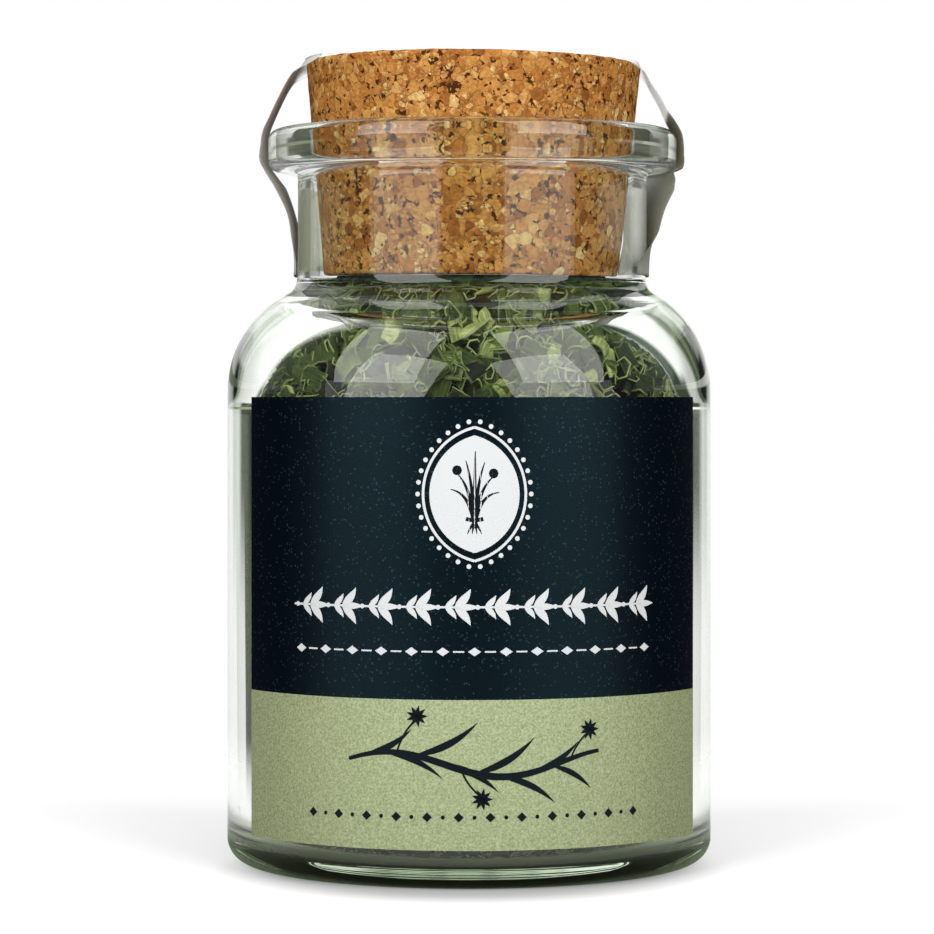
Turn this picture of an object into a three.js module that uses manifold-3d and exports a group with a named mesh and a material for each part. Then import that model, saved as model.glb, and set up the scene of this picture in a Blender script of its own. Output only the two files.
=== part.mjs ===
// A corked glass jar of dried, cut chives: a thick pressed-glass jar with a round shoulder and a rolled lip,
// a tapered stopper of pressed cork, a clear seal strip taped over the stopper and down both sides of the
// neck, a paper label on the front of the body, and the chives that fill the jar up to the neck.
// Millimetres, +Z up. The origin is the centre of the ring that the jar stands on. The label faces -Y.

import * as THREE from "three";
import { mergeVertices } from "three/addons/utils/BufferGeometryUtils.js";
import Module from "manifold-3d";

const wasm = await Module();
wasm.setup();

const glass = {
  bodyRadius: 32.5, // outside of the straight body
  wall: 4.2, // thickness of the body's wall
  floorTop: 2.5, // inside of the floor, above the surface that the jar stands on
  floorCorner: 5.0, // radius of the inside corner between floor and wall
  heelRadius: 3.2, // outside corner between the body and the foot
  footWidth: 3.2, // flat ring that the jar stands on
  puntHeight: 1.1, // rise of the hollow under the floor
  shoulderStart: 62.9, // where the straight body ends
  shoulderRadius: 15.0, // outside of the shoulder, in section
  innerShoulderStart: 60.5,
  innerShoulderRadius: 13.0,
  neckRadius: 23.5,
  neckFillet: 2.2, // outside, from the shoulder into the neck
  innerNeckFillet: 3.5,
  boreRadius: 21.9,
  lipRadius: 27.5,
  lipBottom: 92.6,
  lipTop: 98.0,
  lipUnderCorner: 1.3,
  lipTopCorner: 1.3,
  lipFillet: 1.2, // from the neck into the lip's underside
  mouthEdge: 0.9, // rounding of the bore's upper edge
  turns: 52, // flat sides round the jar
};

const cork = {
  bottom: 78.0,
  top: 107.0,
  bottomRadius: 19.8,
  topRadius: 22.5,
  bottomEdge: 0.5,
  topEdge: 0.7,
  tiltDeg: 0.65, // pushed in a little askew, lower on +X
  turns: 52,
};

const neckShift = {
  distance: 0.45,
  heights: [66, 84], // it starts at the first height and is complete at the second
};

const seal = {
  width: 19.0,
  thickness: 0.25,
  gap: 0.3, // clear of what it is stuck to
  endHeight: 78.4, // where both ends stop on the neck
  wrapFrom: 79.0, // both ends are bent round the neck at this height
  wrapTo: 84.5, // and flat again at this height
  wrapShare: [0.3, 1.0], // how far they are bent, on -X and +X
  rimWrap: [105.0, 107.3], // it is bent round the stopper's rim from the first height to the second
  // Slope of the strip's edges against its middle line at these heights, on -X and +X.
  slopeHeights: [80, 87, 91, 95.5, 99, 104],
  slopes: [
    [0, 0.02, 0.057, 0.01, -0.04, -0.048],
    [0, 0.13, 0.12, 0.02, -0.03, -0.06],
  ],
  steps: 62, // along the strip, two between each pair of its route's points
  across: 4, // over its width
};

const label = {
  bottom: 5.2,
  top: 62.2,
  fromDeg: -60, // round the body from the front, towards -X
  toDeg: 63.5, // and towards +X
  thickness: 0.25,
  gap: 0.12,
};

const chives = {
  bottomGap: 0.4, // clear of the glass floor
  wallGap: 0.25, // clear of the glass wall
  coreDepth: 1.7, // how far the packed core stays inside the flakes at the wall
  topCentre: 75.6,
  topFall: 1.4, // from the middle of the heap to the neck's wall
  rough: 0.7, // relief of the packed core
  turns: 36,
  rows: 17,
  seed: 11,
  curls: 84, // split, curled pieces of leaf
  rings: 21, // short pieces that are still tubes
  sheet: 0.65, // thickness of a leaf's wall
};

const degrees = Math.PI / 180;

// Points on a circle's arc in the plane of radius (x) and height (y).
function arc(centreX, centreY, radius, fromDeg, toDeg, steps) {
  const points = [];
  for (let i = 0; i <= steps; i++) {
    const angle = (fromDeg + ((toDeg - fromDeg) * i) / steps) * degrees;
    points.push(new THREE.Vector2(centreX + radius * Math.cos(angle), centreY + radius * Math.sin(angle)));
  }
  return points;
}

// A profile of radius and height, turned round the Z axis.
function turned(profile, turns) {
  return new THREE.LatheGeometry(profile, turns).rotateX(Math.PI / 2);
}

function meshOf(name, geometry, material) {
  const mesh = new THREE.Mesh(geometry, material);
  mesh.name = name;
  return mesh;
}

// Repeatable random numbers from 0 to 1.
function randomFrom(seed) {
  let state = seed;
  return () => {
    state = (state + 0x6d2b79f5) | 0;
    let t = Math.imul(state ^ (state >>> 15), 1 | state);
    t = (t + Math.imul(t ^ (t >>> 7), 61 | t)) ^ t;
    return ((t ^ (t >>> 14)) >>> 0) / 4294967296;
  };
}

const cavityRadius = glass.bodyRadius - glass.wall;
const innerShoulderCentre = cavityRadius - glass.innerShoulderRadius;

// A fillet circle that touches a shoulder circle and the straight wall above it.
function shoulderFillet(centreX, centreY, shoulderRadius, wallRadius, filletRadius) {
  const reach = shoulderRadius + filletRadius;
  const x = wallRadius + filletRadius;
  const y = centreY + Math.sqrt(reach ** 2 - (x - centreX) ** 2);
  return { x, y, touchDeg: Math.atan2(y - centreY, x - centreX) / degrees };
}

const innerFillet = shoulderFillet(
  innerShoulderCentre,
  glass.innerShoulderStart,
  glass.innerShoulderRadius,
  glass.boreRadius,
  glass.innerNeckFillet,
);

// Radius of the glass's inside at a height.
function insideRadius(z) {
  const corner = glass.floorCorner;
  if (z < glass.floorTop + corner) {
    const below = glass.floorTop + corner - z;
    return cavityRadius - corner + Math.sqrt(Math.max(0, corner ** 2 - below ** 2));
  }
  if (z <= glass.innerShoulderStart) return cavityRadius;
  const touchHeight =
    glass.innerShoulderStart + glass.innerShoulderRadius * Math.sin(innerFillet.touchDeg * degrees);
  if (z <= touchHeight) {
    const up = z - glass.innerShoulderStart;
    return innerShoulderCentre + Math.sqrt(glass.innerShoulderRadius ** 2 - up ** 2);
  }
  if (z <= innerFillet.y) {
    const down = innerFillet.y - z;
    return innerFillet.x - Math.sqrt(glass.innerNeckFillet ** 2 - down ** 2);
  }
  return glass.boreRadius;
}

function glassJar() {
  const g = glass;
  const footOuter = g.bodyRadius - g.heelRadius;
  const footInner = footOuter - g.footWidth;
  const shoulderCentre = g.bodyRadius - g.shoulderRadius;
  const fillet = shoulderFillet(
    shoulderCentre,
    g.shoulderStart,
    g.shoulderRadius,
    g.neckRadius,
    g.neckFillet,
  );
  const mouth = g.boreRadius + g.mouthEdge;
  const profile = [
    new THREE.Vector2(0, g.puntHeight),
    new THREE.Vector2(footInner * 0.62, g.puntHeight * 0.85),
    new THREE.Vector2(footInner - 0.9, g.puntHeight * 0.45),
    new THREE.Vector2(footInner, 0),
    ...arc(footOuter, g.heelRadius, g.heelRadius, -90, 0, 4),
    ...arc(shoulderCentre, g.shoulderStart, g.shoulderRadius, 0, fillet.touchDeg, 8),
    ...arc(fillet.x, fillet.y, g.neckFillet, fillet.touchDeg + 180, 180, 2).slice(1),
    ...arc(g.neckRadius + g.lipFillet, g.lipBottom - g.lipFillet, g.lipFillet, 180, 90, 2),
    ...arc(g.lipRadius - g.lipUnderCorner, g.lipBottom + g.lipUnderCorner, g.lipUnderCorner, -90, 0, 2),
    ...arc(g.lipRadius - g.lipTopCorner, g.lipTop - g.lipTopCorner, g.lipTopCorner, 0, 90, 3),
    ...arc(mouth, g.lipTop - g.mouthEdge, g.mouthEdge, 90, 180, 1),
    ...arc(innerFillet.x, innerFillet.y, g.innerNeckFillet, 180, innerFillet.touchDeg + 180, 2),
    ...arc(
      innerShoulderCentre,
      g.innerShoulderStart,
      g.innerShoulderRadius,
      innerFillet.touchDeg,
      0,
      5,
    ).slice(1),
    ...arc(cavityRadius - g.floorCorner, g.floorTop + g.floorCorner, g.floorCorner, 0, -90, 5),
    new THREE.Vector2(0, g.floorTop),
  ];
  const material = new THREE.MeshStandardMaterial({
    color: 0xe4eee6,
    roughness: 0.03,
    metalness: 0,
    transparent: true,
    opacity: 0.35,
  });
  return meshOf("glass_jar", turned(profile, g.turns), material);
}

function corkStopper() {
  const c = cork;
  const middle = (c.bottom + c.top) / 2;
  const profile = [
    new THREE.Vector2(0, c.bottom - middle),
    new THREE.Vector2(c.bottomRadius - c.bottomEdge, c.bottom - middle),
    new THREE.Vector2(c.bottomRadius, c.bottom + c.bottomEdge - middle),
    new THREE.Vector2(c.topRadius, c.top - c.topEdge - middle),
    new THREE.Vector2(c.topRadius - c.topEdge * 0.3, c.top - c.topEdge * 0.3 - middle),
    new THREE.Vector2(c.topRadius - c.topEdge, c.top - middle),
    new THREE.Vector2(0, c.top - middle),
  ];
  const material = new THREE.MeshStandardMaterial({ color: 0xb9854f, roughness: 0.85, metalness: 0 });
  const stopper = meshOf("cork_stopper", turned(profile, c.turns), material);
  stopper.position.z = middle;
  stopper.rotation.y = c.tiltDeg * degrees;
  return stopper;
}

// The strip's under face in section: up from its end on the -X side of the neck, over the stopper and down.
// On -X it hugs the upper neck, and on +X it runs nearly straight from the lip to the foot of the neck.
function sealRoute() {
  const g = seal.gap;
  const neck = glass.neckRadius + g;
  const lip = glass.lipRadius + g;
  const rim = cork.topRadius + g;
  const lift = cork.topRadius * Math.sin(cork.tiltDeg * degrees); // of the stopper's -X edge
  const top = cork.top + g;
  const left = [
    [-neck, seal.endHeight],
    [-neck, 81.6],
    [-neck - 0.1, 84.5],
    [-24.35, 86.8],
    [-25.8, 90.3],
    [-lip + 0.75, 92.25],
    [-lip - 0.05, 93.7],
    [-lip - 0.1, 95.6],
    [-lip - 0.05, 97.2],
    [-lip + 0.45, 98.8],
    [-26.0, 101.8],
    [-24.7, 104.3],
    [-rim - 0.45, top - 1.2 + lift],
    [-rim + 0.45, top - 0.1 + lift],
    [-rim + 2.4, top + lift * 0.9],
  ];
  const right = [
    [rim - 2.4, top - lift * 0.9],
    [rim - 0.45, top - 0.1 - lift],
    [rim + 0.3, top - 1.4 - lift],
    [rim + 1.2, 103.9],
    [25.15, 102.0],
    [26.15, 100.0],
    [lip - 0.6, 98.3],
    [lip + 0.05, 96.7],
    [lip + 0.08, 94.2],
    [lip - 0.6, 92.3],
    [neck + 1.9, 91.1],
    [neck + 1.1, 89.4],
    [neck + 0.35, 87.0],
    [neck + 0.05, 84.0],
    [neck, 81.5],
    [neck, seal.endHeight],
  ];
  return new THREE.SplineCurve([...left, [0, top], ...right].map(([x, z]) => new THREE.Vector2(x, z)));
}

// How far the strip is bent round: not at all at the lip, and more and more down the neck and up to the rim.
function sealWrap(x, height) {
  const flat = THREE.MathUtils.smoothstep(height, seal.wrapFrom, seal.wrapTo);
  return seal.wrapShare[x < 0 ? 0 : 1] * (1 - flat) + THREE.MathUtils.smoothstep(height, ...seal.rimWrap);
}

// Slope of the strip's edges at a height, straight between the given ones.
function sealSlope(x, height) {
  const heights = seal.slopeHeights;
  const slopes = seal.slopes[x < 0 ? 0 : 1];
  if (height <= heights[0]) return slopes[0];
  const above = heights.findIndex((value) => value > height);
  if (above < 0) return slopes[slopes.length - 1];
  const share = (height - heights[above - 1]) / (heights[above] - heights[above - 1]);
  return THREE.MathUtils.lerp(slopes[above - 1], slopes[above], share);
}

// A closed band: one grid of points on the under face and one on the upper face, joined along the edges.
function sealStrip() {
  const { width, thickness, steps, across } = seal;
  const route = sealRoute();
  const positions = [];
  for (const lift of [0, thickness]) {
    for (let i = 0; i <= steps; i++) {
      const point = route.getPoint(i / steps);
      const tangent = route.getTangent(i / steps);
      const x = point.x - tangent.y * lift;
      const z = point.y + tangent.x * lift;
      for (let j = 0; j <= across; j++) {
        const y = width * (j / across - 0.5);
        const round = Math.max(Math.abs(x), cork.topRadius);
        const pull = (round - Math.sqrt(round ** 2 - y ** 2)) * sealWrap(x, z);
        positions.push(x * (1 - pull / round) - y * Math.sign(x) * sealSlope(x, z), y, z);
      }
    }
  }
  const row = across + 1;
  const upper = (steps + 1) * row;
  const index = [];
  const quad = (a, b, c, d) => index.push(a, c, b, a, d, c);
  for (let i = 0; i < steps; i++) {
    for (let j = 0; j < across; j++) {
      const a = i * row + j;
      quad(a, a + row, a + row + 1, a + 1);
      quad(a + upper, a + 1 + upper, a + row + 1 + upper, a + row + upper);
    }
    const near = i * row;
    const far = near + across;
    quad(near, near + upper, near + row + upper, near + row);
    quad(far, far + row, far + row + upper, far + upper);
  }
  for (let j = 0; j < across; j++) {
    const end = steps * row + j;
    quad(j, j + 1, j + 1 + upper, j + upper);
    quad(end, end + upper, end + 1 + upper, end + 1);
  }
  const geometry = new THREE.BufferGeometry();
  geometry.setAttribute("position", new THREE.Float32BufferAttribute(positions, 3));
  geometry.setIndex(index);
  geometry.computeVertexNormals();
  const material = new THREE.MeshStandardMaterial({
    color: 0xc9cbc8,
    roughness: 0.3,
    metalness: 0,
    transparent: true,
    opacity: 0.5,
  });
  return meshOf("seal_strip", geometry, material);
}

function frontLabel() {
  const inner = glass.bodyRadius + label.gap;
  const outer = inner + label.thickness;
  const from = -Math.PI / 2 + label.fromDeg * degrees;
  const to = -Math.PI / 2 + label.toDeg * degrees;
  const sector = new THREE.Shape();
  sector.absarc(0, 0, outer, from, to, false);
  sector.absarc(0, 0, inner, to, from, true);
  const geometry = new THREE.ExtrudeGeometry(sector, {
    depth: label.top - label.bottom,
    bevelEnabled: false,
    curveSegments: 15,
  });
  const material = new THREE.MeshStandardMaterial({ color: 0x0d1b24, roughness: 0.45, metalness: 0 });
  const paper = meshOf("front_label", geometry, material);
  paper.position.z = label.bottom;
  return paper;
}

// Height of the heap's top at a distance from the jar's axis.
function heapTop(radius) {
  return chives.topCentre - chives.topFall * (radius / glass.boreRadius) ** 2;
}

// A closed triangle mesh as a solid that can be joined.
function solidOf(geometry) {
  const bare = geometry.clone();
  bare.deleteAttribute("normal");
  bare.deleteAttribute("uv");
  const merged = mergeVertices(bare, 1e-4);
  return new wasm.Manifold(
    new wasm.Mesh({
      numProp: 3,
      vertProperties: new Float32Array(merged.attributes.position.array),
      triVerts: new Uint32Array(merged.index.array),
    }),
  );
}

// The room inside the glass, less the gap to the wall, up to above the heap.
function roomInGlass() {
  const low = glass.floorTop + chives.bottomGap;
  const corner = low + glass.floorCorner;
  const heights = [low, low + 0.35 * glass.floorCorner, corner];
  for (let share = 0; share <= 1; share += 0.2) {
    heights.push(THREE.MathUtils.lerp(glass.innerShoulderStart, innerFillet.y, share));
  }
  const profile = heights.map((z) => new THREE.Vector2(insideRadius(z) - chives.wallGap, z));
  const top = cork.bottom - 0.7;
  const bore = glass.boreRadius - chives.wallGap;
  profile.unshift(new THREE.Vector2(0, low));
  profile.push(new THREE.Vector2(bore, top), new THREE.Vector2(0, top));
  return turned(profile, 48);
}

// The packed middle of the fill, with its surface broken up like pressed flakes.
function packedCore(random) {
  const c = chives;
  const low = glass.floorTop + c.bottomGap;
  const high = heapTop(glass.boreRadius) - 0.6;
  const profile = [new THREE.Vector2(0, low)];
  for (let i = 0; i <= c.rows; i++) {
    const z = low + ((high - low) * i) / c.rows;
    profile.push(new THREE.Vector2(insideRadius(z + 0.3) - c.wallGap - c.coreDepth, z));
  }
  for (const share of [0.8, 0.6, 0.4, 0.2]) {
    const radius = glass.boreRadius * share;
    profile.push(new THREE.Vector2(radius, heapTop(radius) - 0.6));
  }
  profile.push(new THREE.Vector2(0, heapTop(0) - 0.6));
  const bare = turned(profile, c.turns);
  bare.deleteAttribute("normal");
  bare.deleteAttribute("uv");
  const merged = mergeVertices(bare, 1e-4);
  const place = merged.attributes.position;
  for (let i = 0; i < place.count; i++) {
    const [x, y, z] = [place.getX(i), place.getY(i), place.getZ(i)];
    const radius = Math.hypot(x, y);
    if (z < low + 0.1) continue;
    const grow = radius > 1 ? 1 + ((random() - 0.5) * 2 * c.rough) / radius : 1;
    place.setXYZ(i, x * grow, y * grow, z + (random() - 0.5) * c.rough);
  }
  return merged;
}

// A split piece of leaf: a curled sheet, cut off at a slant.
function curl(random) {
  const radius = 1.9 + 0.9 * random();
  const opening = (120 + 90 * random()) * degrees;
  const section = new THREE.Shape();
  section.absarc(0, 0, radius, -opening / 2, opening / 2, false);
  section.absarc(0, 0, radius - chives.sheet, opening / 2, -opening / 2, true);
  return slanted(section, 4.6 + 2.4 * random(), 2, random);
}

// A short piece of leaf that is still a tube.
function ring(random) {
  const radius = 1.8 + 0.5 * random();
  const section = new THREE.Shape();
  section.absarc(0, 0, radius, 0, Math.PI * 2, false);
  const hole = new THREE.Path();
  hole.absarc(0, 0, radius - chives.sheet, 0, Math.PI * 2, true);
  section.holes.push(hole);
  return slanted(section, 3.0 + 1.8 * random(), 3, random);
}

// The section drawn out to a length, squashed a little and cut at a slant, with its middle at the origin.
function slanted(section, length, curveSegments, random) {
  const geometry = new THREE.ExtrudeGeometry(section, { depth: length, bevelEnabled: false, curveSegments });
  geometry.translate(0, 0, -length / 2);
  const squash = 0.75 + 0.25 * random();
  const slant = 0.5 * (random() - 0.5);
  const shape = new THREE.Matrix4().set(1, 0, 0, 0, 0, squash, 0, 0, slant, 0, 1, 0, 0, 0, 0, 1);
  return geometry.applyMatrix4(shape);
}

// Turns a piece any way about its place and moves it in until all of it is clear of the glass.
function placeInJar(piece, place, outward, random) {
  const toSurface = new THREE.Quaternion().setFromUnitVectors(new THREE.Vector3(1, 0, 0), outward);
  const spin = new THREE.Quaternion().setFromAxisAngle(outward, random() * Math.PI * 2);
  const lean = new THREE.Quaternion().setFromEuler(
    new THREE.Euler(0.9 * (random() - 0.5), 0.9 * (random() - 0.5), 0.9 * (random() - 0.5)),
  );
  const turn = spin.multiply(toSurface).multiply(lean);
  piece.applyMatrix4(new THREE.Matrix4().compose(place, turn, new THREE.Vector3(1, 1, 1)));
  const points = piece.attributes.position;
  const inward = new THREE.Vector2(-place.x, -place.y).normalize();
  for (let round = 0; round < 4; round++) {
    let over = 0;
    for (let i = 0; i < points.count; i++) {
      const z = Math.max(points.getZ(i), glass.floorTop + chives.bottomGap);
      const radius = Math.hypot(points.getX(i), points.getY(i));
      over = Math.max(over, radius - (insideRadius(z) - chives.wallGap));
    }
    piece.translate(inward.x * over * 1.05, inward.y * over * 1.05, 0);
  }
  return piece;
}

function driedChives() {
  const random = randomFrom(chives.seed);
  let joined = solidOf(packedCore(random));
  const low = glass.floorTop + 3.2;
  const high = innerFillet.y - 1.5;
  const pieces = chives.curls + chives.rings;
  for (let i = 0; i < pieces; i++) {
    const onTop = i % 4 === 0;
    const angle = i * 2.399963 + random() * 0.5; // golden angle, so that the pieces spread evenly
    const spread = Math.sqrt(random());
    const z = onTop ? heapTop(glass.boreRadius * spread) - 1.4 : low + (high - low) * ((i * 0.7548) % 1);
    const radius = onTop ? (glass.boreRadius - 2.4) * spread : insideRadius(z) - chives.wallGap - 1.3;
    const place = new THREE.Vector3(radius * Math.cos(angle), radius * Math.sin(angle), z);
    const rise = onTop ? 1 : Math.max(0, (z - glass.innerShoulderStart) / glass.innerShoulderRadius);
    const side = onTop ? 0.25 : Math.sqrt(1 - Math.min(0.9, rise) ** 2);
    const outward = new THREE.Vector3(side * Math.cos(angle), side * Math.sin(angle), rise).normalize();
    const isRing = i % Math.round(pieces / chives.rings) === 1;
    const piece = isRing ? ring(random) : curl(random);
    joined = joined.add(solidOf(placeInJar(piece, place, outward, random)));
  }
  joined = joined.intersect(solidOf(roomInGlass()));
  const whole = joined.decompose().reduce((a, b) => (b.volume() > a.volume() ? b : a));
  const { vertProperties, triVerts, numProp } = whole.getMesh();
  const geometry = new THREE.BufferGeometry();
  const points = new Float32Array((vertProperties.length / numProp) * 3);
  for (let i = 0; i < points.length / 3; i++) {
    points.set(vertProperties.subarray(i * numProp, i * numProp + 3), i * 3);
  }
  geometry.setAttribute("position", new THREE.BufferAttribute(points, 3));
  geometry.setIndex(new THREE.BufferAttribute(triVerts, 1));
  geometry.computeVertexNormals();
  const material = new THREE.MeshStandardMaterial({ color: 0x57682f, roughness: 0.75, metalness: 0 });
  return meshOf("dried_chives", geometry, material);
}

// The neck, and all that is in and on it, stands a little off the body's middle towards +X.
function withNeckShifted(mesh) {
  const { geometry } = mesh;
  mesh.updateMatrix();
  geometry.applyMatrix4(mesh.matrix);
  mesh.position.set(0, 0, 0);
  mesh.rotation.set(0, 0, 0);
  const position = geometry.attributes.position;
  for (let i = 0; i < position.count; i++) {
    const share = THREE.MathUtils.smoothstep(position.getZ(i), ...neckShift.heights);
    position.setX(i, position.getX(i) + neckShift.distance * share);
  }
  geometry.computeVertexNormals();
  return mesh;
}

const jar = new THREE.Group();
const meshes = [glassJar(), corkStopper(), sealStrip(), frontLabel(), driedChives()];
jar.add(...meshes.map(withNeckShifted));

export default jar;
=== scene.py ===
import math

import bpy
import numpy as np
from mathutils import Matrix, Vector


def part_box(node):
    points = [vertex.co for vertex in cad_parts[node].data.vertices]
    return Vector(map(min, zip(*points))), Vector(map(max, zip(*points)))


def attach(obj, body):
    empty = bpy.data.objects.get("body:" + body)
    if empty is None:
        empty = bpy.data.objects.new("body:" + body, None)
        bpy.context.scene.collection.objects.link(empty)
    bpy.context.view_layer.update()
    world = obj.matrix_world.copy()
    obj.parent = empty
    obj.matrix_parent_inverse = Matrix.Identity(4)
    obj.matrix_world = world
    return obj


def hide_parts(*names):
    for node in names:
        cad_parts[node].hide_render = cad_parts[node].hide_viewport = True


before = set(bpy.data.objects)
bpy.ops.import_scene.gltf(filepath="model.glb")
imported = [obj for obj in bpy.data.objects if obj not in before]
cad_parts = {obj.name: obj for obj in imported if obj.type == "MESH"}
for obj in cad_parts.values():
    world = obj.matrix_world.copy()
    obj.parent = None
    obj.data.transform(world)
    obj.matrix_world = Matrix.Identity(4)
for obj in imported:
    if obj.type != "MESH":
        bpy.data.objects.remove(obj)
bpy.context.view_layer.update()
mm = 0.001

# The label faces -Y, +X is to its right, and the jar stands on z = 0.
jarLow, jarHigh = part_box("glass_jar")
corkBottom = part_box("cork_stopper")[0][2] / mm
labelLow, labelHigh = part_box("front_label")
bodyRadius = (jarHigh[0] - jarLow[0]) / 2 / mm
lipTop = jarHigh[2] / mm
neckShift = {"distance": 0.45, "heights": (66, 84)}


# Coordinates, each an array or a number, put side by side.
def joined(*parts):
    return np.stack(np.broadcast_arrays(*parts), axis=-1)


# Points on a circle's arc, as rows of (radius from the jar's axis, height).
def arcPoints(centreR, centreZ, radius, fromDeg, toDeg, steps):
    angle = np.radians(np.linspace(fromDeg, toDeg, steps + 1))
    return joined(centreR + radius * np.cos(angle), centreZ + radius * np.sin(angle))


# Points round Z at these radii, angles and heights.
def polar(radius, angle, z):
    return joined(radius * np.cos(angle), radius * np.sin(angle), z)


# Rows of vectors made one long.
def unit(vectors):
    return vectors / np.maximum(np.linalg.norm(vectors, axis=1, keepdims=True), 1e-9)


# Each row there and back again, for the two skins of a closed sheet.
def thereAndBack(row):
    return np.concatenate([row, row[..., ::-1]], axis=-1)


# Quads of a grid of points counted row by row. A closed grid joins its last column to its first.
def gridQuads(rows, cols, closed=False):
    row = np.arange(rows - 1)[:, None] * cols
    col = np.arange(cols if closed else cols - 1)[None, :]
    nextCol = (col + 1) % cols
    quads = np.stack([row + col, row + nextCol, row + cols + nextCol, row + cols + col], axis=-1)
    return quads.reshape(-1, 4)


# Faces of a closed sheet whose rows run across one skin and back across the other: the sides as one tube, and
# a strip of quads between the skins at both ends.
def sheetFaces(rows, across):
    ring = 2 * (across + 1)
    i = np.arange(across)
    lowEnd = joined(i, ring - 1 - i, ring - 2 - i, i + 1)
    return gridQuads(rows, ring, closed=True), np.vstack([lowEnd, lowEnd[:, ::-1] + (rows - 1) * ring])


# Six times the volume inside closed faces, from the triple product of each triangle's corners.
def signedVolume(points, faceArrays):
    total = 0.0
    for faces in faceArrays:
        for second in range(1, faces.shape[1] - 1):
            a, b, c = points[faces[:, 0]], points[faces[:, second]], points[faces[:, second + 1]]
            total += (a * np.cross(b, c)).sum()
    return total


# A closed piece from points in millimetres, its faces turned to look outwards. A smooth step of the height
# shifts the neck, and all in and on it, a little towards +X.
def makePiece(name, points, faceArrays, material, uv=None, pointValues=None, faceValues=None, smooth=True):
    points = np.array(points, dtype=float)
    points[:, 0] += neckShift["distance"] * smoothStep(points[:, 2], *neckShift["heights"])
    if signedVolume(points, faceArrays) < 0:
        faceArrays = [faces[:, ::-1] for faces in faceArrays]
    mesh = bpy.data.meshes.new(name)
    corners = np.concatenate([faces.ravel() for faces in faceArrays]).astype(np.int32)
    sizes = np.concatenate([np.full(len(faces), faces.shape[1]) for faces in faceArrays])
    mesh.vertices.add(len(points))
    mesh.vertices.foreach_set("co", (points * mm).astype(np.float32).ravel())
    mesh.loops.add(len(corners))
    mesh.loops.foreach_set("vertex_index", corners)
    mesh.polygons.add(len(sizes))
    mesh.polygons.foreach_set("loop_start", (np.cumsum(sizes) - sizes).astype(np.int32))
    mesh.polygons.foreach_set("use_smooth", np.full(len(sizes), smooth))
    mesh.update(calc_edges=True)
    if uv is not None:
        layer = mesh.uv_layers.new(name="surfaceUv")
        layer.uv.foreach_set("vector", uv[corners].astype(np.float32).ravel())
    for domain, values in (("POINT", pointValues), ("FACE", faceValues)):
        for key, data in (values or {}).items():
            attribute = mesh.attributes.new(key, "FLOAT", domain)
            attribute.data.foreach_set("value", np.asarray(data, dtype=np.float32))
    mesh.materials.append(material)
    piece = bpy.data.objects.new(name, mesh)
    bpy.context.scene.collection.objects.link(piece)
    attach(piece, "root")
    return piece


# A profile turned about Z: its first and last point become poles, and each one between them a ring.
def turned(profile, turns):
    rings = profile[1:-1]
    angle = np.linspace(0, 2 * np.pi, turns, endpoint=False)
    ringPoints = polar(rings[:, :1], angle, rings[:, 1:]).reshape(-1, 3)
    first = len(ringPoints)
    poles = [[0, 0, profile[0][1]], [0, 0, profile[-1][1]]]
    around = np.arange(turns)
    onward = (around + 1) % turns
    top = first - turns
    lowFan = joined(first, onward, around)
    highFan = joined(first + 1, top + around, top + onward)
    return np.vstack([ringPoints, poles]), [gridQuads(len(rings), turns, closed=True), lowFan, highFan]


# Adds points between far neighbours of a profile, so that no step is longer than the given one.
def refine(profile, step):
    pieces = [profile[:1]]
    for start, end in zip(profile[:-1], profile[1:]):
        parts = max(1, int(np.ceil(np.linalg.norm(end - start) / step)))
        share = np.linspace(0, 1, parts + 1)[1:, None]
        pieces.append(start + (end - start) * share)
    return np.vstack(pieces)


# A step from 0 to 1 that starts and ends level: three times the square less twice the cube.
def smoothStep(value, low, high):
    share = np.clip((value - low) / (high - low), 0, 1)
    return share ** 2 * (3 - 2 * share)


# Smooth noise on points: sums of six sine waves in random directions, each sum half the size of the last.
def waveNoise(points, size, seed, layers=4):
    random = np.random.default_rng(seed)
    total = np.zeros(len(points))
    for layer in range(layers):
        directions = unit(random.normal(size=(6, 3)))
        phase = random.uniform(0, 2 * np.pi, 6)
        pitch = 2 * np.pi / (size / 2 ** layer)
        total += np.sin(points @ directions.T * pitch + phase).sum(axis=1) / 2 ** layer / 6 ** 0.5
    return total


# Gives a node's input a fixed value, or a link from another node's output.
def feed(socket, value):
    if isinstance(value, bpy.types.NodeSocket):
        socket.id_data.links.new(value, socket)
    else:
        socket.default_value = value


# The outputs of a new node with its plain properties set and its inputs fed.
def addNode(tree, kind, inputs=None, **properties):
    node = tree.nodes.new("ShaderNode" + kind)
    for key, value in properties.items():
        setattr(node, key, value)
    for key, value in (inputs or {}).items():
        feed(node.inputs[key], value)
    return node.outputs


# The same beside the nodes that feed it.
def addLinked(kind, inputs, **properties):
    tree = next(value.id_data for value in inputs.values() if isinstance(value, bpy.types.NodeSocket))
    return addNode(tree, kind, inputs, **properties)


# A group with named sockets, each given as a name, a kind and, where it has one, a default value.
def newGroup(name, inputs, outputs):
    group = bpy.data.node_groups.new(name, "ShaderNodeTree")
    for side, sockets in (("INPUT", inputs), ("OUTPUT", outputs)):
        for key, kind, *default in sockets:
            socket = group.interface.new_socket(key, in_out=side, socket_type="NodeSocket" + kind)
            if default:
                socket.default_value = default[0]
    return group, group.nodes.new("NodeGroupInput").outputs, group.nodes.new("NodeGroupOutput").inputs


def addGroup(group, vector, settings):
    return addLinked("Group", {"Vector": vector, **settings}, node_tree=group)


# Math nodes: each input is a number or another node's output.
def addMath(operation, *inputs):
    return addLinked("Math", dict(enumerate(inputs)), operation=operation)["Value"]


def times(a, b):
    return addMath("MULTIPLY", a, b)


def minus(a, b):
    return addMath("SUBTRACT", a, b)


def larger(a, b):
    return addMath("MAXIMUM", a, b)


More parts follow.
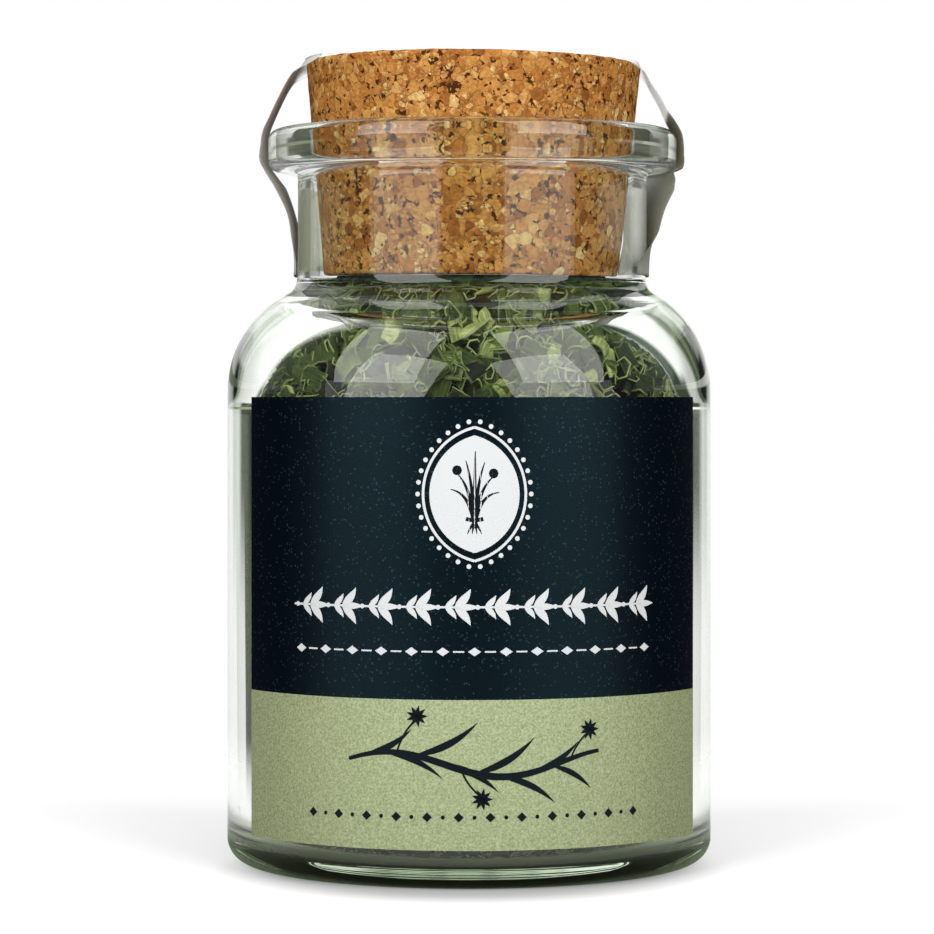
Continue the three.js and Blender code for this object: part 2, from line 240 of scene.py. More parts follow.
# A smooth step of a value between two limits, to the range given.
def addRange(value, fromMin, fromMax, toMin=0.0, toMax=1.0):
    limits = {"Value": value, "From Min": fromMin, "From Max": fromMax, "To Min": toMin, "To Max": toMax}
    return addLinked("MapRange", limits, interpolation_type="SMOOTHSTEP")["Result"]


# A colour ramp through pairs of a position and a colour.
def addRamp(value, tones):
    ramp = value.id_data.nodes.new("ShaderNodeValToRGB")
    feed(ramp.inputs["Fac"], value)
    while len(ramp.color_ramp.elements) < len(tones):
        ramp.color_ramp.elements.new(0.5)
    for element, (position, color) in zip(ramp.color_ramp.elements, tones):
        element.position = position
        element.color = (*color, 1)
    return ramp.outputs["Color"]


def addNoise(vector, scale, detail):
    return addLinked("TexNoise", {"Vector": vector, "Scale": scale, "Detail": detail})


def addSplit(vector):
    return addLinked("SeparateXYZ", {"Vector": vector})


def mix(factor, a, b, kind="RGBA", blend="MIX"):
    return addLinked("Mix", {"Factor": factor, "A": a, "B": b}, data_type=kind, blend_type=blend)["Result"]


def tinted(color, tint):
    return mix(1.0, color, tint, blend="MULTIPLY")


# The material's surface, mixed from its shader and another one.
def mixSurface(tree, factor, shader, other):
    mixed = addLinked("MixShader", {"Fac": factor, 1: shader.outputs["BSDF"], 2: other["BSDF"]})
    feed(tree.nodes["Material Output"].inputs["Surface"], mixed["Shader"])


def newMaterial(name, inputs):
    material = bpy.data.materials.new(name)
    material.use_nodes = True
    shader = material.node_tree.nodes["Principled BSDF"]
    for key, value in inputs.items():
        feed(shader.inputs[key], value)
    return material, material.node_tree, shader


def addBump(height, strength, distance, shader):
    bump = addLinked("Bump", {"Height": height, "Strength": strength, "Distance": distance})
    feed(shader.inputs["Normal"], bump["Normal"])


# Uneven tint: noise at one size, steepened, which mixes two colours and gives its own height.
def makeMottle():
    group, given, result = newGroup(
        "mottle",
        [("Vector", "Vector"), ("Scale", "Float", 100.0), ("Dark", "Color", (0, 0, 0, 1)),
         ("Light", "Color", (1, 1, 1, 1)), ("Low", "Float", 0.35), ("High", "Float", 0.65)],
        [("Color", "Color"), ("Height", "Float")])
    noise = addNode(group, "TexNoise", {
        "Vector": given["Vector"], "Scale": given["Scale"], "Detail": 4.0, "Roughness": 0.6})
    height = addRange(noise["Fac"], given["Low"], given["High"])
    feed(result["Color"], mix(height, given["Dark"], given["Light"]))
    feed(result["Height"], height)
    return group


# Scattered specks: a given share of a Voronoi pattern's cells, each drawn as a dot round its cell's middle.
def makeSpecks():
    group, given, result = newGroup(
        "specks",
        [("Vector", "Vector"), ("Scale", "Float", 1000.0), ("Share", "Float", 0.2), ("Size", "Float", 0.35)],
        [("Mask", "Float")])
    cells = addNode(group, "TexVoronoi", {"Vector": given["Vector"], "Scale": given["Scale"]})
    split = addNode(group, "SeparateColor", {"Color": cells["Color"]})
    chosen = addMath("LESS_THAN", split["Red"], given["Share"])
    isDot = addMath("LESS_THAN", cells["Distance"], given["Size"])
    feed(result["Mask"], times(chosen, isDot))
    return group


mottle = makeMottle()
specks = makeSpecks()


jar = {
    "wall": 3.7,
    "floorTop": 2.5,
    "floorCorner": 3.2,
    "heelRadius": 3.2,
    "footWidth": 3.2,
    "puntHeight": 1.1,
    "puntFall": 0.15,  # the share of its height by which its roof slopes down to its edge
    "shoulderStart": 62.9,
    "shoulderRadius": 15.0,
    "innerShoulderStart": 60.5,
    "innerShoulderRadius": 13.0,
    "neckRadius": 23.5,
    "neckFillet": 2.2,
    "innerNeckFillet": 3.5,
    "boreRadius": 21.9,
    "lipRadius": 27.5,
    "lipBottom": 92.6,
    "lipCorner": 1.3,
    "lipFillet": 1.2,
    "mouthEdge": 0.9,
    "turns": 288,
    "step": 1.6,
    "shadowTint": (0.9, 0.93, 0.9, 1),
    "ior": 1.5,
    "absorbColor": (0.3, 0.55, 0.2, 1),
    "absorbDensity": 10.0,
}

cavityRadius = bodyRadius - jar["wall"]


# The circle that rounds a shoulder's arc into the straight wall above it: its centre, and where it touches.
def shoulderFillet(centreR, centreZ, shoulderRadius, wallRadius, filletRadius):
    r = wallRadius + filletRadius
    z = centreZ + math.sqrt((shoulderRadius + filletRadius) ** 2 - (r - centreR) ** 2)
    return r, z, math.degrees(math.atan2(z - centreZ, r - centreR))


# The glass's inside from the mouth down to the middle of the floor.
def insideProfile():
    innerRadius, innerStart = jar["innerShoulderRadius"], jar["innerShoulderStart"]
    fillet, mouth, corner = jar["innerNeckFillet"], jar["mouthEdge"], jar["floorCorner"]
    shoulderR = cavityRadius - innerRadius
    filletR, filletZ, touch = shoulderFillet(shoulderR, innerStart, innerRadius, jar["boreRadius"], fillet)
    return np.vstack([
        arcPoints(jar["boreRadius"] + mouth, lipTop - mouth, mouth, 90, 180, 6),
        arcPoints(filletR, filletZ, fillet, 180, 180 + touch, 10),
        arcPoints(shoulderR, innerStart, innerRadius, touch, 0, 24)[1:],
        arcPoints(cavityRadius - corner, jar["floorTop"] + corner, corner, 0, -90, 12),
        [[0, jar["floorTop"]]],
    ])


# The glass's outside from the middle of the hollow foot up to the top of the lip.
def outsideProfile():
    heel, neck, corner, lip = (jar[key] for key in ("heelRadius", "neckRadius", "lipCorner", "lipRadius"))
    fillet, underLip, lipBottom = jar["neckFillet"], jar["lipFillet"], jar["lipBottom"]
    footOuter = bodyRadius - heel
    footInner = footOuter - jar["footWidth"]
    shoulderR, start = bodyRadius - jar["shoulderRadius"], jar["shoulderStart"]
    filletR, filletZ, touch = shoulderFillet(shoulderR, start, jar["shoulderRadius"], neck, fillet)
    share = np.linspace(0, 1, 16)[:, None]
    puntZ = jar["puntHeight"] * (1 - share ** 4) * (1 - jar["puntFall"] * share)
    return np.vstack([
        np.hstack([footInner * share, puntZ]),
        arcPoints(footOuter, heel, heel, -90, 0, 14),
        arcPoints(shoulderR, start, jar["shoulderRadius"], 0, touch, 32),
        arcPoints(filletR, filletZ, fillet, 180 + touch, 180, 8)[1:],
        arcPoints(neck + underLip, lipBottom - underLip, underLip, 180, 90, 7),
        arcPoints(lip - corner, lipBottom + corner, corner, -90, 0, 9),
        arcPoints(lip - corner, lipTop - corner, corner, 0, 90, 10),
    ])


# Clear glass with a green body. Light on its way to what is inside passes straight through it.
def glassMaterial():
    material, tree, shader = newMaterial("clearGlass", {
        "Base Color": (1, 1, 1, 1), "Roughness": 0.0, "IOR": jar["ior"], "Transmission Weight": 1.0})
    path = addNode(tree, "LightPath")
    clear = addNode(tree, "BsdfTransparent", {"Color": jar["shadowTint"]})
    mixSurface(tree, larger(path["Is Shadow Ray"], path["Is Diffuse Ray"]), shader, clear)
    body = addNode(tree, "VolumeAbsorption", {"Color": jar["absorbColor"], "Density": jar["absorbDensity"]})
    feed(tree.nodes["Material Output"].inputs["Volume"], body["Volume"])
    return material


def makeJar():
    profile = refine(np.vstack([outsideProfile(), insideProfile()]), jar["step"])
    points, faces = turned(profile, jar["turns"])
    piece = makePiece("jar_glass", points, faces, glassMaterial())
    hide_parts("glass_jar")
    return piece


glassJar = makeJar()
print("glass jar:", len(glassJar.data.polygons), "faces")


cork = {
    "bottom": 78.0,
    "top": 107.0,
    "bottomRadius": 19.8,
    "topRadius": 22.5,
    "edge": 0.6,
    "tiltDeg": 0.65,
    "turns": 420,
    "step": 0.34,
    "pits": 170,
    "pitSize": (0.2, 0.6),
    "pitDepth": (0.1, 0.38),
    "pitShares": {"ends": 0.4, "top": 0.6},  # of all pits on the two ends, and of those on the top end
    "pitSteepness": 1.6,
    "pitWobble": {"reach": 0.4, "size": 1.3, "limits": (0.4, 2)},
    # painted shade in the pits: its gain on their depth, where it starts, and its most
    "pitShade": {"gain": 3.0, "start": 0.4, "most": 0.75},
    "relief": {"height": 0.03, "size": 3.0},
    "seed": 5,
    # Scales of the patterns, in a metre: large granules, small ones, and the waves that shift their edges.
    "granule": 660.0,
    "chip": 1450.0,
    "bend": {"scale": 380.0, "reach": 0.6},
    "ragged": {"scale": 1500.0, "reach": 0.3},
    "chipShare": 0.55,
    "chipEdge": 0.5,
    "tones": [
        (0.00, (0.150, 0.055, 0.012)), (0.12, (0.245, 0.092, 0.021)), (0.28, (0.330, 0.138, 0.032)),
        (0.44, (0.365, 0.172, 0.048)), (0.60, (0.405, 0.208, 0.060)), (0.74, (0.355, 0.158, 0.040)),
        (0.88, (0.425, 0.236, 0.078)), (0.96, (0.470, 0.310, 0.120)), (1.00, (0.510, 0.375, 0.185)),
    ],
    "grain": {"Scale": 1900.0, "Dark": (0.74, 0.68, 0.62, 1), "Light": (1.14, 1.12, 1.08, 1),
              "Low": 0.32, "High": 0.68},
    "lineWidth": 0.05,
    "lineNoise": (520.0, 1.0),
    "lineStrength": (0.36, 0.6, 0.25, 0.9),  # from noise between the first two to the last two
    "gapNoise": (1000.0, 2.0),
    "gapWidth": (0.52, 0.74, 0.0, 0.15),
    "gapBlur": 0.03,
    "holes": {"Scale": 1900.0, "Share": 0.03, "Size": 0.4},
    # painted shade: the tone of open gaps, holes and pits between granules
    "gapShade": (0.045, 0.016, 0.006, 1),
    # fine lines between granules: partly the cork's own dark joints, partly painted shade
    "jointLineAndShade": (0.170, 0.066, 0.018, 1),
    "bump": (0.5, 0.2 * mm),
}


# One size of cork granule: a Voronoi pattern's cells, with two random values each and how near an edge is.
def makeGranules():
    group, given, result = newGroup(
        "granules", [("Vector", "Vector"), ("Scale", "Float", 400.0)],
        [("Value", "Float"), ("Choice", "Float"), ("Edge", "Float")])
    placed = {"Vector": given["Vector"], "Scale": given["Scale"]}
    cells = addNode(group, "TexVoronoi", placed)
    edges = addNode(group, "TexVoronoi", placed, feature="DISTANCE_TO_EDGE")
    split = addNode(group, "SeparateColor", {"Color": cells["Color"]})
    feed(result["Value"], split["Red"])
    feed(result["Choice"], split["Blue"])
    feed(result["Edge"], edges["Distance"])
    return group


# The vector shifted by noise, up to a reach in millimetres, so that edges between cells come out ragged.
def roughenVector(place, scale, reach):
    inputs = {0: addNoise(place, scale, 2.0)["Color"], 1: (reach * mm,) * 3, 2: place}
    return addLinked("VectorMath", inputs, operation="MULTIPLY_ADD")["Vector"]


# Granules of two sizes in brown tones. Fine lines between them are darker, partly as dark joints and partly
# as painted shade; open gaps, holes and pits get painted shade.
def corkMaterial():
    material, tree, shader = newMaterial("pressedCork", {"Roughness": 0.9, "Specular IOR Level": 0.0})
    granules = makeGranules()
    place = addNode(tree, "TexCoord")["Object"]
    ragged = roughenVector(roughenVector(place, **cork["bend"]), **cork["ragged"])
    large, small = (addGroup(granules, ragged, {"Scale": cork[key]}) for key in ("granule", "chip"))
    isSmall = addMath("LESS_THAN", large["Choice"], cork["chipShare"])
    smallEdge = addMath("MINIMUM", times(small["Edge"], cork["chipEdge"]), large["Edge"])
    value = mix(isSmall, large["Value"], small["Value"], "FLOAT")
    edge = mix(isSmall, large["Edge"], smallEdge, "FLOAT")
    grain = addGroup(mottle, place, cork["grain"])
    grained = tinted(addRamp(value, cork["tones"]), grain["Color"])
    # Fine lines between granules, partly dark joints and partly painted shade.
    line = addRange(edge, 0.0, cork["lineWidth"], 1.0, 0.0)
    lineHere = addRange(addNoise(place, *cork["lineNoise"])["Fac"], *cork["lineStrength"])
    fine = times(line, lineHere)
    lined = mix(fine, grained, cork["jointLineAndShade"])
    # Painted shade in the open gaps and holes between granules.
    width = addRange(addNoise(ragged, *cork["gapNoise"])["Fac"], *cork["gapWidth"])
    gap = addRange(minus(width, edge), 0.0, cork["gapBlur"])
    dark = larger(gap, addGroup(specks, ragged, cork["holes"])["Mask"])
    # Painted shade inside the pits, darker where they are deeper.
    dark = larger(dark, addNode(tree, "Attribute", attribute_name="paintedPitShade")["Fac"])
    feed(shader.inputs["Base Color"], mix(dark, lined, cork["gapShade"]))
    level = addMath("MULTIPLY_ADD", value, 0.5, grain["Height"])
    addBump(minus(minus(level, fine), dark), *cork["bump"], shader)
    return material


# A turned, tapered plug with pits where granules fell out, each a bell curve of the distance from its middle.
# Then the whole plug is leaned about Y.
def makeCork():
    random = np.random.default_rng(cork["seed"])
    edge, bottom, top, count = (cork[key] for key in ("edge", "bottom", "top", "pits"))
    profile = refine(np.vstack([
        [[0, bottom]],
        arcPoints(cork["bottomRadius"] - edge, bottom + edge, edge, -90, -5, 5),
        arcPoints(cork["topRadius"] - edge, top - edge, edge, -5, 90, 6),
        [[0, top]],
    ]), cork["step"])
    points, faces = turned(profile, cork["turns"])
    radius = np.hypot(points[:, 0], points[:, 1])
    onEnd = (points[:, 2] > top - 0.05) | (points[:, 2] < bottom + 0.05)
    away = points * [[1, 1, 0]] / np.maximum(radius, 1e-6)[:, None]
    outward = np.where(onEnd[:, None], [[0, 0, 1]], away)
    outward[onEnd & (points[:, 2] < bottom + 1)] *= -1
    angle = random.uniform(0, 2 * np.pi, count)
    height = random.uniform(bottom, top, count)
    onEnds = random.random(count) < cork["pitShares"]["ends"]
    share = np.sqrt(random.random(count))
    sideRadius = np.interp(height, [bottom, top], [cork["bottomRadius"], cork["topRadius"]])
    pitRadius = np.where(onEnds, cork["topRadius"] * share, sideRadius)
    endHeight = np.where(random.random(count) < cork["pitShares"]["top"], top, bottom)
    pitZ = np.where(onEnds, endHeight, height)
    centres = polar(pitRadius, angle, pitZ)
    sizes = random.uniform(*cork["pitSize"], count)
    depths = random.uniform(*cork["pitDepth"], count)
    uneven, shade, relief = (cork[key] for key in ("pitWobble", "pitShade", "relief"))
    wobble = 1 + uneven["reach"] * waveNoise(points, uneven["size"], 3, layers=2)
    wobble = np.clip(wobble, *uneven["limits"])
    press = np.zeros(len(points))
    for centre, size, depth in zip(centres, sizes, depths):
        apart = ((points - centre) ** 2).sum(axis=1) / size ** 2 * wobble
        press = np.maximum(press, depth * np.exp(-apart * cork["pitSteepness"]))
    rise = relief["height"] * (waveNoise(points, relief["size"], 7) - 1)
    moved = points + outward * (rise - press)[:, None]
    tilt, middle = math.radians(cork["tiltDeg"]), (bottom + top) / 2
    x, z = moved[:, 0].copy(), moved[:, 2] - middle
    moved[:, 0] = x * math.cos(tilt) + z * math.sin(tilt)
    moved[:, 2] = z * math.cos(tilt) - x * math.sin(tilt) + middle
    # Painted shade for each point in a pit, from how deep it is pressed.
    paintedPitShade = np.clip(press * shade["gain"] - shade["start"], 0, shade["most"])
    piece = makePiece("stopper_cork", moved, faces, corkMaterial(), pointValues={"paintedPitShade": paintedPitShade})
    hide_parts("cork_stopper")
    return piece


corkStopper = makeCork()
print("cork stopper:", len(corkStopper.data.polygons), "faces")


chives = {
    "bottomGap": 0.4,
    "floorGap": 0.15,
    "wallGap": 0.12,
    "stopperGap": 0.35,
    "topCentre": 75.9,
    "topFall": 1.4,
    "coreDepth": 3.2,
    "coreFootDepth": 0.7,
    "coreFoot": (7, 12),  # heights between which the one depth goes over into the other
    "coreNeck": (18.2, 18.9),  # it stands up under the stopper inside these distances from the axis
    "coreGap": 0.15,
    "coreTurns": 120,
    "coreRelief": (0.5, 6.0),  # its height, and the size of its waves
    # painted shade: the dark tones of the fill's middle
    "coreShadeTones": {"Scale": 620.0, "Dark": (0.002, 0.004, 0.002, 1), "Light": (0.030, 0.046, 0.012, 1)},
    "layers": [(0.0, 4100), (0.9, 2400), (1.9, 1500)],  # depth under the surface, and pieces there
    "surfaceDepth": 0.18,
    "goldenAngle": 2.399963,
    "flat": {"share": 0.5, "width": (1.7, 3.7), "length": (1.8, 4.3), "openingDeg": (20, 95)},
    "curled": {"share": 0.26, "width": (2.6, 4.6), "length": (1.6, 3.8), "openingDeg": (120, 230)},
    "tube": {"share": 0.24, "width": (4.2, 7.4), "length": (1.0, 2.8), "openingDeg": (300, 354)},
    "sheet": 0.18,
    "squash": {"curled": 0.55, "tube": 0.3},  # least height of their section against its width
    # Spreads of the random ways in which a piece is uneven.
    "splay": 0.05,
    "crumple": 0.045,
    "cutWobble": 0.12,
    "cutSlant": 0.3,
    "bend": 0.05,
    "twist": 0.06,
    "lean": {"top": 0.55, "side": 0.26, "deeper": 0.15, "spread": (0.2, 1.6)},
    "insideOut": 0.35,  # share of the pieces whose hollow side looks out
    "endOut": 0.6,  # share of the tubes that show a cut end
    "across": 5,
    "along": np.array([-1.0, -0.9, 0.0, 0.9, 1.0]),
    "seed": 21,
    "perPiece": 1300,
    "tint": {"shape": (2.1, 2.0), "most": 0.92},  # a beta distribution, cut off
    "tones": [
        (0.00, (0.003, 0.005, 0.001)), (0.22, (0.008, 0.014, 0.003)), (0.45, (0.020, 0.033, 0.006)),
        (0.68, (0.047, 0.066, 0.014)), (0.86, (0.098, 0.124, 0.036)), (0.95, (0.212, 0.238, 0.093)),
        (0.985, (0.128, 0.076, 0.020)),
    ],
    "oddTints": ((0.965, 0.95), (0.992, 0.985)),  # above this random number, this place in the tones
    "veinStretch": (4.2, 0.22, 1.0),
    "veinTone": (0.36, 0.64, 0.62, 1.42),
    "blotch": {"Scale": 520.0, "Dark": (0.72, 0.76, 0.66, 1), "Light": (1.2, 1.16, 1.1, 1),
               "Low": 0.35, "High": 0.66},
    "cutColor": (0.21, 0.25, 0.10, 1),
    "cutShares": {"end": 0.3, "edge": 0.85},
    "shadeHeights": (73.5, 77.0),  # painted shade: towards the stopper the pieces are darker
    "shade": 0.25,
    "bump": (0.55, 0.16 * mm),
}

insideWall = insideProfile()[::-1][1:-7]


# Radius of the glass's inside at each height, read off its profile.
def insideRadius(z):
    return np.interp(z, insideWall[:, 1], insideWall[:, 0])


# The heap's upper surface at a distance from the axis.
def heapTop(radius):
    return chives["topCentre"] - chives["topFall"] * (radius / jar["boreRadius"]) ** 2


# The outline of the whole fill, from the middle of its flat bottom, up the wall and over the heap.
def fillProfile(inset):
    low = jar["floorTop"] + chives["bottomGap"] + inset
    z = np.linspace(low, heapTop(jar["boreRadius"]) - inset, 120)
    r = insideRadius(z) - chives["wallGap"] - inset
    heapR = np.linspace(r[-1], 0, 24)[1:]
    heap = joined(heapR, heapTop(heapR) - inset)
    flat = joined(np.linspace(0, r[0], 20)[:-1], low)
    return np.vstack([flat, joined(r, z), heap])


# Places spread evenly over the fill's surface, in equal steps of area and golden-angle turns, with normals.
def surfacePlaces(count, inset, random):
    outline = fillProfile(inset)
    step = np.diff(outline, axis=0)
    length = np.hypot(step[:, 0], step[:, 1])
    area = np.concatenate([[0], np.cumsum(length * (outline[1:, 0] + outline[:-1, 0]))])
    at = (np.arange(count) + random.random(count)) / count * area[-1]
    r, z = (np.interp(at, area, values) for values in outline.T)
    segment = np.clip(np.searchsorted(area, at) - 1, 0, len(step) - 1)
    normalR, normalZ = step[segment, 1] / length[segment], -step[segment, 0] / length[segment]
    angle = np.arange(count) * chives["goldenAngle"] + random.uniform(-0.25, 0.25, count)
    return polar(r, angle, z), polar(normalR, angle, normalZ)


# Cut pieces of leaf as closed sheets, not yet placed. Across, each follows part of an ellipse that bulges to
# +Y, from a nearly flat strip to a squashed tube. Along Z it bends, twists and ends in slanted cuts.
def leafPieces(count, random):
    m, along = chives["across"] + 1, chives["along"][:, None]
    kinds = [chives[key] for key in ("flat", "curled", "tube")]
    pick = np.searchsorted(np.cumsum([kind["share"] for kind in kinds])[:-1], random.random(count))
    width, length, opening = (
        np.choose(pick, [random.uniform(*kind[key], count) for kind in kinds])[:, None]
        for key in ("width", "length", "openingDeg"))
    opening = np.radians(opening)
    radius = width / opening
    squashed = [random.uniform(chives["squash"][key], 1, count) for key in ("curled", "tube")]
    squash = np.choose(pick, [np.ones(count), *squashed])[:, None]
    side = thereAndBack(np.linspace(-1, 1, m))
    skin = np.repeat([0.5, -0.5], m) * chives["sheet"]
    phi = side * opening / 2 + random.normal(0, chives["splay"], (count, 1)) * side ** 2
    normalX, normalY = squash * np.sin(phi), np.cos(phi)
    size = np.hypot(normalX, normalY)
    x = radius * np.sin(phi) + skin * normalX / size
    y = radius * squash * np.cos(phi) + skin * normalY / size
    y -= y.mean(axis=1, keepdims=True)
    crumple = thereAndBack(random.normal(0, chives["crumple"], (count, len(along), m)))
    ends = thereAndBack(random.normal(0, chives["cutWobble"], (count, 2, m)))
    ends = ends + random.normal(0, chives["cutSlant"], (count, 2, 1)) * side
    weight = np.clip(np.hstack([-along, along]), 0, 1)
    z = along * length[:, None] / 2 + np.einsum("rk,nkj->nrj", weight, ends)
    bend = random.normal(0, chives["bend"], (count, 1, 1))
    x = x[:, None] + crumple * (normalX / size)[:, None]
    y = y[:, None] + crumple * (normalY / size)[:, None] - bend * z ** 2
    twist = random.normal(0, chives["twist"], (count, 1, 1)) * z
    turned = [x * np.cos(twist) - y * np.sin(twist), x * np.sin(twist) + y * np.cos(twist), z]
    u = side * width[:, None] / 2 + random.uniform(0, 50, (count, 1, 1))
    uv = joined(u, z).reshape(count, -1, 2)
    return np.stack(turned, axis=-1).reshape(count, -1, 3), uv, pick


# Turns each piece so that its bulge looks along the given direction, after a spin about it and a random lean.
# Many of the whole tubes show a cut end instead.
def orient(points, normals, lean, isTube, random):
    count = len(points)
    normals = unit(normals + random.normal(0, 1, (count, 3)) * lean[:, None])
    normals *= np.where(random.random(count) < chives["insideOut"], -1, 1)[:, None]
    helper = random.normal(size=(count, 3))
    along = unit(helper - (helper * normals).sum(axis=1)[:, None] * normals)
    endOut = (isTube & (random.random(count) < chives["endOut"]))[:, None]
    along, normals = np.where(endOut, normals, along), np.where(endOut, along, normals)
    axes = np.stack([np.cross(normals, along), normals, along], axis=1)
    return np.einsum("nvi,nij->nvj", points, axes)


# Moves pieces towards the axis, up or down until none reaches past the glass, the floor or the stopper.
def settle(points):
    ceiling = corkBottom - chives["stopperGap"]
    floor = jar["floorTop"] + chives["floorGap"]
    for _ in range(5):
        radius = np.hypot(points[..., 0], points[..., 1])
        flat = np.clip(points[..., 2], floor + 0.1, ceiling)
        over = (radius - (insideRadius(flat) - chives["wallGap"])).max(axis=1)
        toAxis = unit(-points.mean(axis=1) * [[1, 1, 0]])
        points = points + toAxis[:, None, :] * np.clip(over, 0, None)[:, None, None] * 1.02
        down = np.clip((points[..., 2] - ceiling).max(axis=1), 0, None)
        up = np.clip((floor - points[..., 2]).max(axis=1), 0, None)
        points[..., 2] += (up - down)[:, None]
    return points


# Leaf in green tones by each piece's tint, with veins lengthwise, blotches, paler cut edges, and painted
# shade towards the stopper.
def leafMaterial():
    material, tree, shader = newMaterial("driedLeaf", {"Roughness": 0.6, "Specular IOR Level": 0.12})
    place = addNode(tree, "TexCoord")
    tint, cut = (addNode(tree, "Attribute", attribute_name=key)["Fac"] for key in ("tint", "cut"))
    stretch = addNode(tree, "Mapping", {"Vector": place["UV"], "Scale": chives["veinStretch"]})
    veins = addNoise(stretch["Vector"], 1.0, 1.5)["Fac"]
    veined = tinted(addRamp(tint, chives["tones"]), addRange(veins, *chives["veinTone"]))
    uneven = tinted(veined, addGroup(mottle, place["Object"], chives["blotch"])["Color"])
    low, high = (z * mm for z in chives["shadeHeights"])
    # Painted shade under the stopper.
    shade = addRange(addSplit(place["Object"])["Z"], low, high, 1.0, chives["shade"])
    edged = mix(cut, uneven, chives["cutColor"])
    feed(shader.inputs["Base Color"], tinted(edged, shade))
    addBump(veins, *chives["bump"], shader)
    return material


# The middle of the fill, a near-black sheet of painted shade seen through gaps between pieces: the fill's
# outline set in, less so at the bottom, with relief. Its middle stands up under the stopper.
def makeCore():
    material, tree, shader = newMaterial("shadedLeaf", {"Roughness": 0.9, "Specular IOR Level": 0.0})
    place = addNode(tree, "TexCoord")["Object"]
    feed(shader.inputs["Base Color"], addGroup(mottle, place, chives["coreShadeTones"])["Color"])
    low, deep = fillProfile(chives["coreFootDepth"]), fillProfile(chives["coreDepth"])
    profile = low + (deep - low) * smoothStep(low[:, 1], *chives["coreFoot"])[:, None]
    points, faces = turned(profile, chives["coreTurns"])
    radius = np.hypot(points[:, 0], points[:, 1])[:, None]
    isTop = points[:, 2] > heapTop(jar["boreRadius"]) - chives["coreDepth"] - 0.5
    reliefHeight, waves = chives["coreRelief"]
    relief = reliefHeight * (waveNoise(points, waves, 9, layers=3) * ~isTop)[:, None]
    points = points + relief * np.where(radius > 2, points * [[1, 1, 0]] / np.maximum(radius, 1), 0)
    roof = cork["bottom"] - chives["coreGap"] - points[:, 0] * math.tan(math.radians(cork["tiltDeg"]))
    risen = isTop * (1 - smoothStep(radius[:, 0], *chives["coreNeck"]))
    points[:, 2] += risen * (roof - points[:, 2])
    piece = makePiece("chives_middle", points, faces, material)
    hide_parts("dried_chives")
    return piece


# All the cut pieces, in layers from the fill's surface inwards, made into a few objects.
def makeChives():
    random = np.random.default_rng(chives["seed"])
    tilt = chives["lean"]
    material = leafMaterial()
    placed, surfaceUvs = [], []
    for depth, count in chives["layers"]:
        places, normals = surfacePlaces(count, depth + chives["surfaceDepth"], random)
        points, uv, pick = leafPieces(count, random)
        lean = np.where(normals[:, 2] > 0.8, tilt["top"], tilt["side"] + tilt["deeper"] * depth)
        lean = lean * random.uniform(*tilt["spread"], count)
        placed.append(settle(orient(points, normals, lean, pick == 2, random) + places[:, None, :]))
        surfaceUvs.append(uv)
    points, uv = np.concatenate(placed), np.concatenate(surfaceUvs)
    tint = np.clip(random.beta(*chives["tint"]["shape"], len(points)), 0, chives["tint"]["most"])
    odd = random.random(len(points))
    for limit, place in chives["oddTints"]:
        tint = np.where(odd > limit, place, tint)
    rows, across = len(chives["along"]), chives["across"]
    sides, ends = sheetFaces(rows, across)
    ring = 2 * (across + 1)
    sideCut = np.zeros((rows - 1, ring))
    sideCut[[0, -1], :] = chives["cutShares"]["end"]
    sideCut[:, [ring // 2 - 1, ring - 1]] = chives["cutShares"]["edge"]
    pieces = []
    for part, start in enumerate(range(0, len(points), chives["perPiece"])):
        chunk = points[start:start + chives["perPiece"]]
        count, size = chunk.shape[:2]
        offset = (np.arange(count) * size)[:, None, None]
        faces = [(sides[None] + offset).reshape(-1, 4), (ends[None] + offset).reshape(-1, 4)]
        piece = makePiece(
            "chive_cuts_%d" % (part + 1), chunk.reshape(-1, 3), faces, material,
            uv=uv[start:start + count].reshape(-1, 2),
            pointValues={"tint": np.repeat(tint[start:start + count], size)},
            faceValues={"cut": np.concatenate([np.tile(sideCut.ravel(), count), np.ones(count * len(ends))])},
        )
        pieces.append(piece)
    return pieces


chiveCore = makeCore()
chiveCuts = makeChives()
chiveFaces = sum(len(piece.data.polygons) for piece in chiveCuts)
print("dried chives:", chiveFaces, "faces in", len(chiveCuts), "pieces")


label = {
    "bottom": labelLow[2] / mm,
    "top": labelHigh[2] / mm,
    "across": 132,
    "rows": 58,
    "fromDeg": -60.0,  # round the body from the front, towards -X
    "toDeg": 63.5,  # and towards +X
    "gap": 0.06,
    "paper": 0.14,
    "split": 24.15,  # height where the dark field ends and the green one begins
    "navy": (0.0012, 0.0026, 0.0052, 1),
    "fleck": (0.010, 0.022, 0.028, 1),
    "flecks": {"Scale": 3600.0, "Share": 0.1, "Size": 0.45},
    "sheen": (0.4, 0.9, 1.0, 1),
    "gloss": (0.16, 0.38, 0.2, 0.02),  # from these slants, straight on to edge on, to the last two
    "slantShade": (0.03, 0.45, 1.0, 0.8),  # and how much darker the paper is painted there, as painted shade
    "sage": {"Scale": 3800.0, "Dark": (0.160, 0.186, 0.093, 1), "Light": (0.345, 0.380, 0.214, 1),
             "Low": 0.25, "High": 0.75},
    "bump": (0.1, 0.05 * mm),
    "silver": (0.45, 0.463, 0.468, 1),
    "ink": (0.003, 0.007, 0.009, 1),
    "middle": 0.7,  # the drawings' middle, round the body towards +X
    "print": 0.03,
}


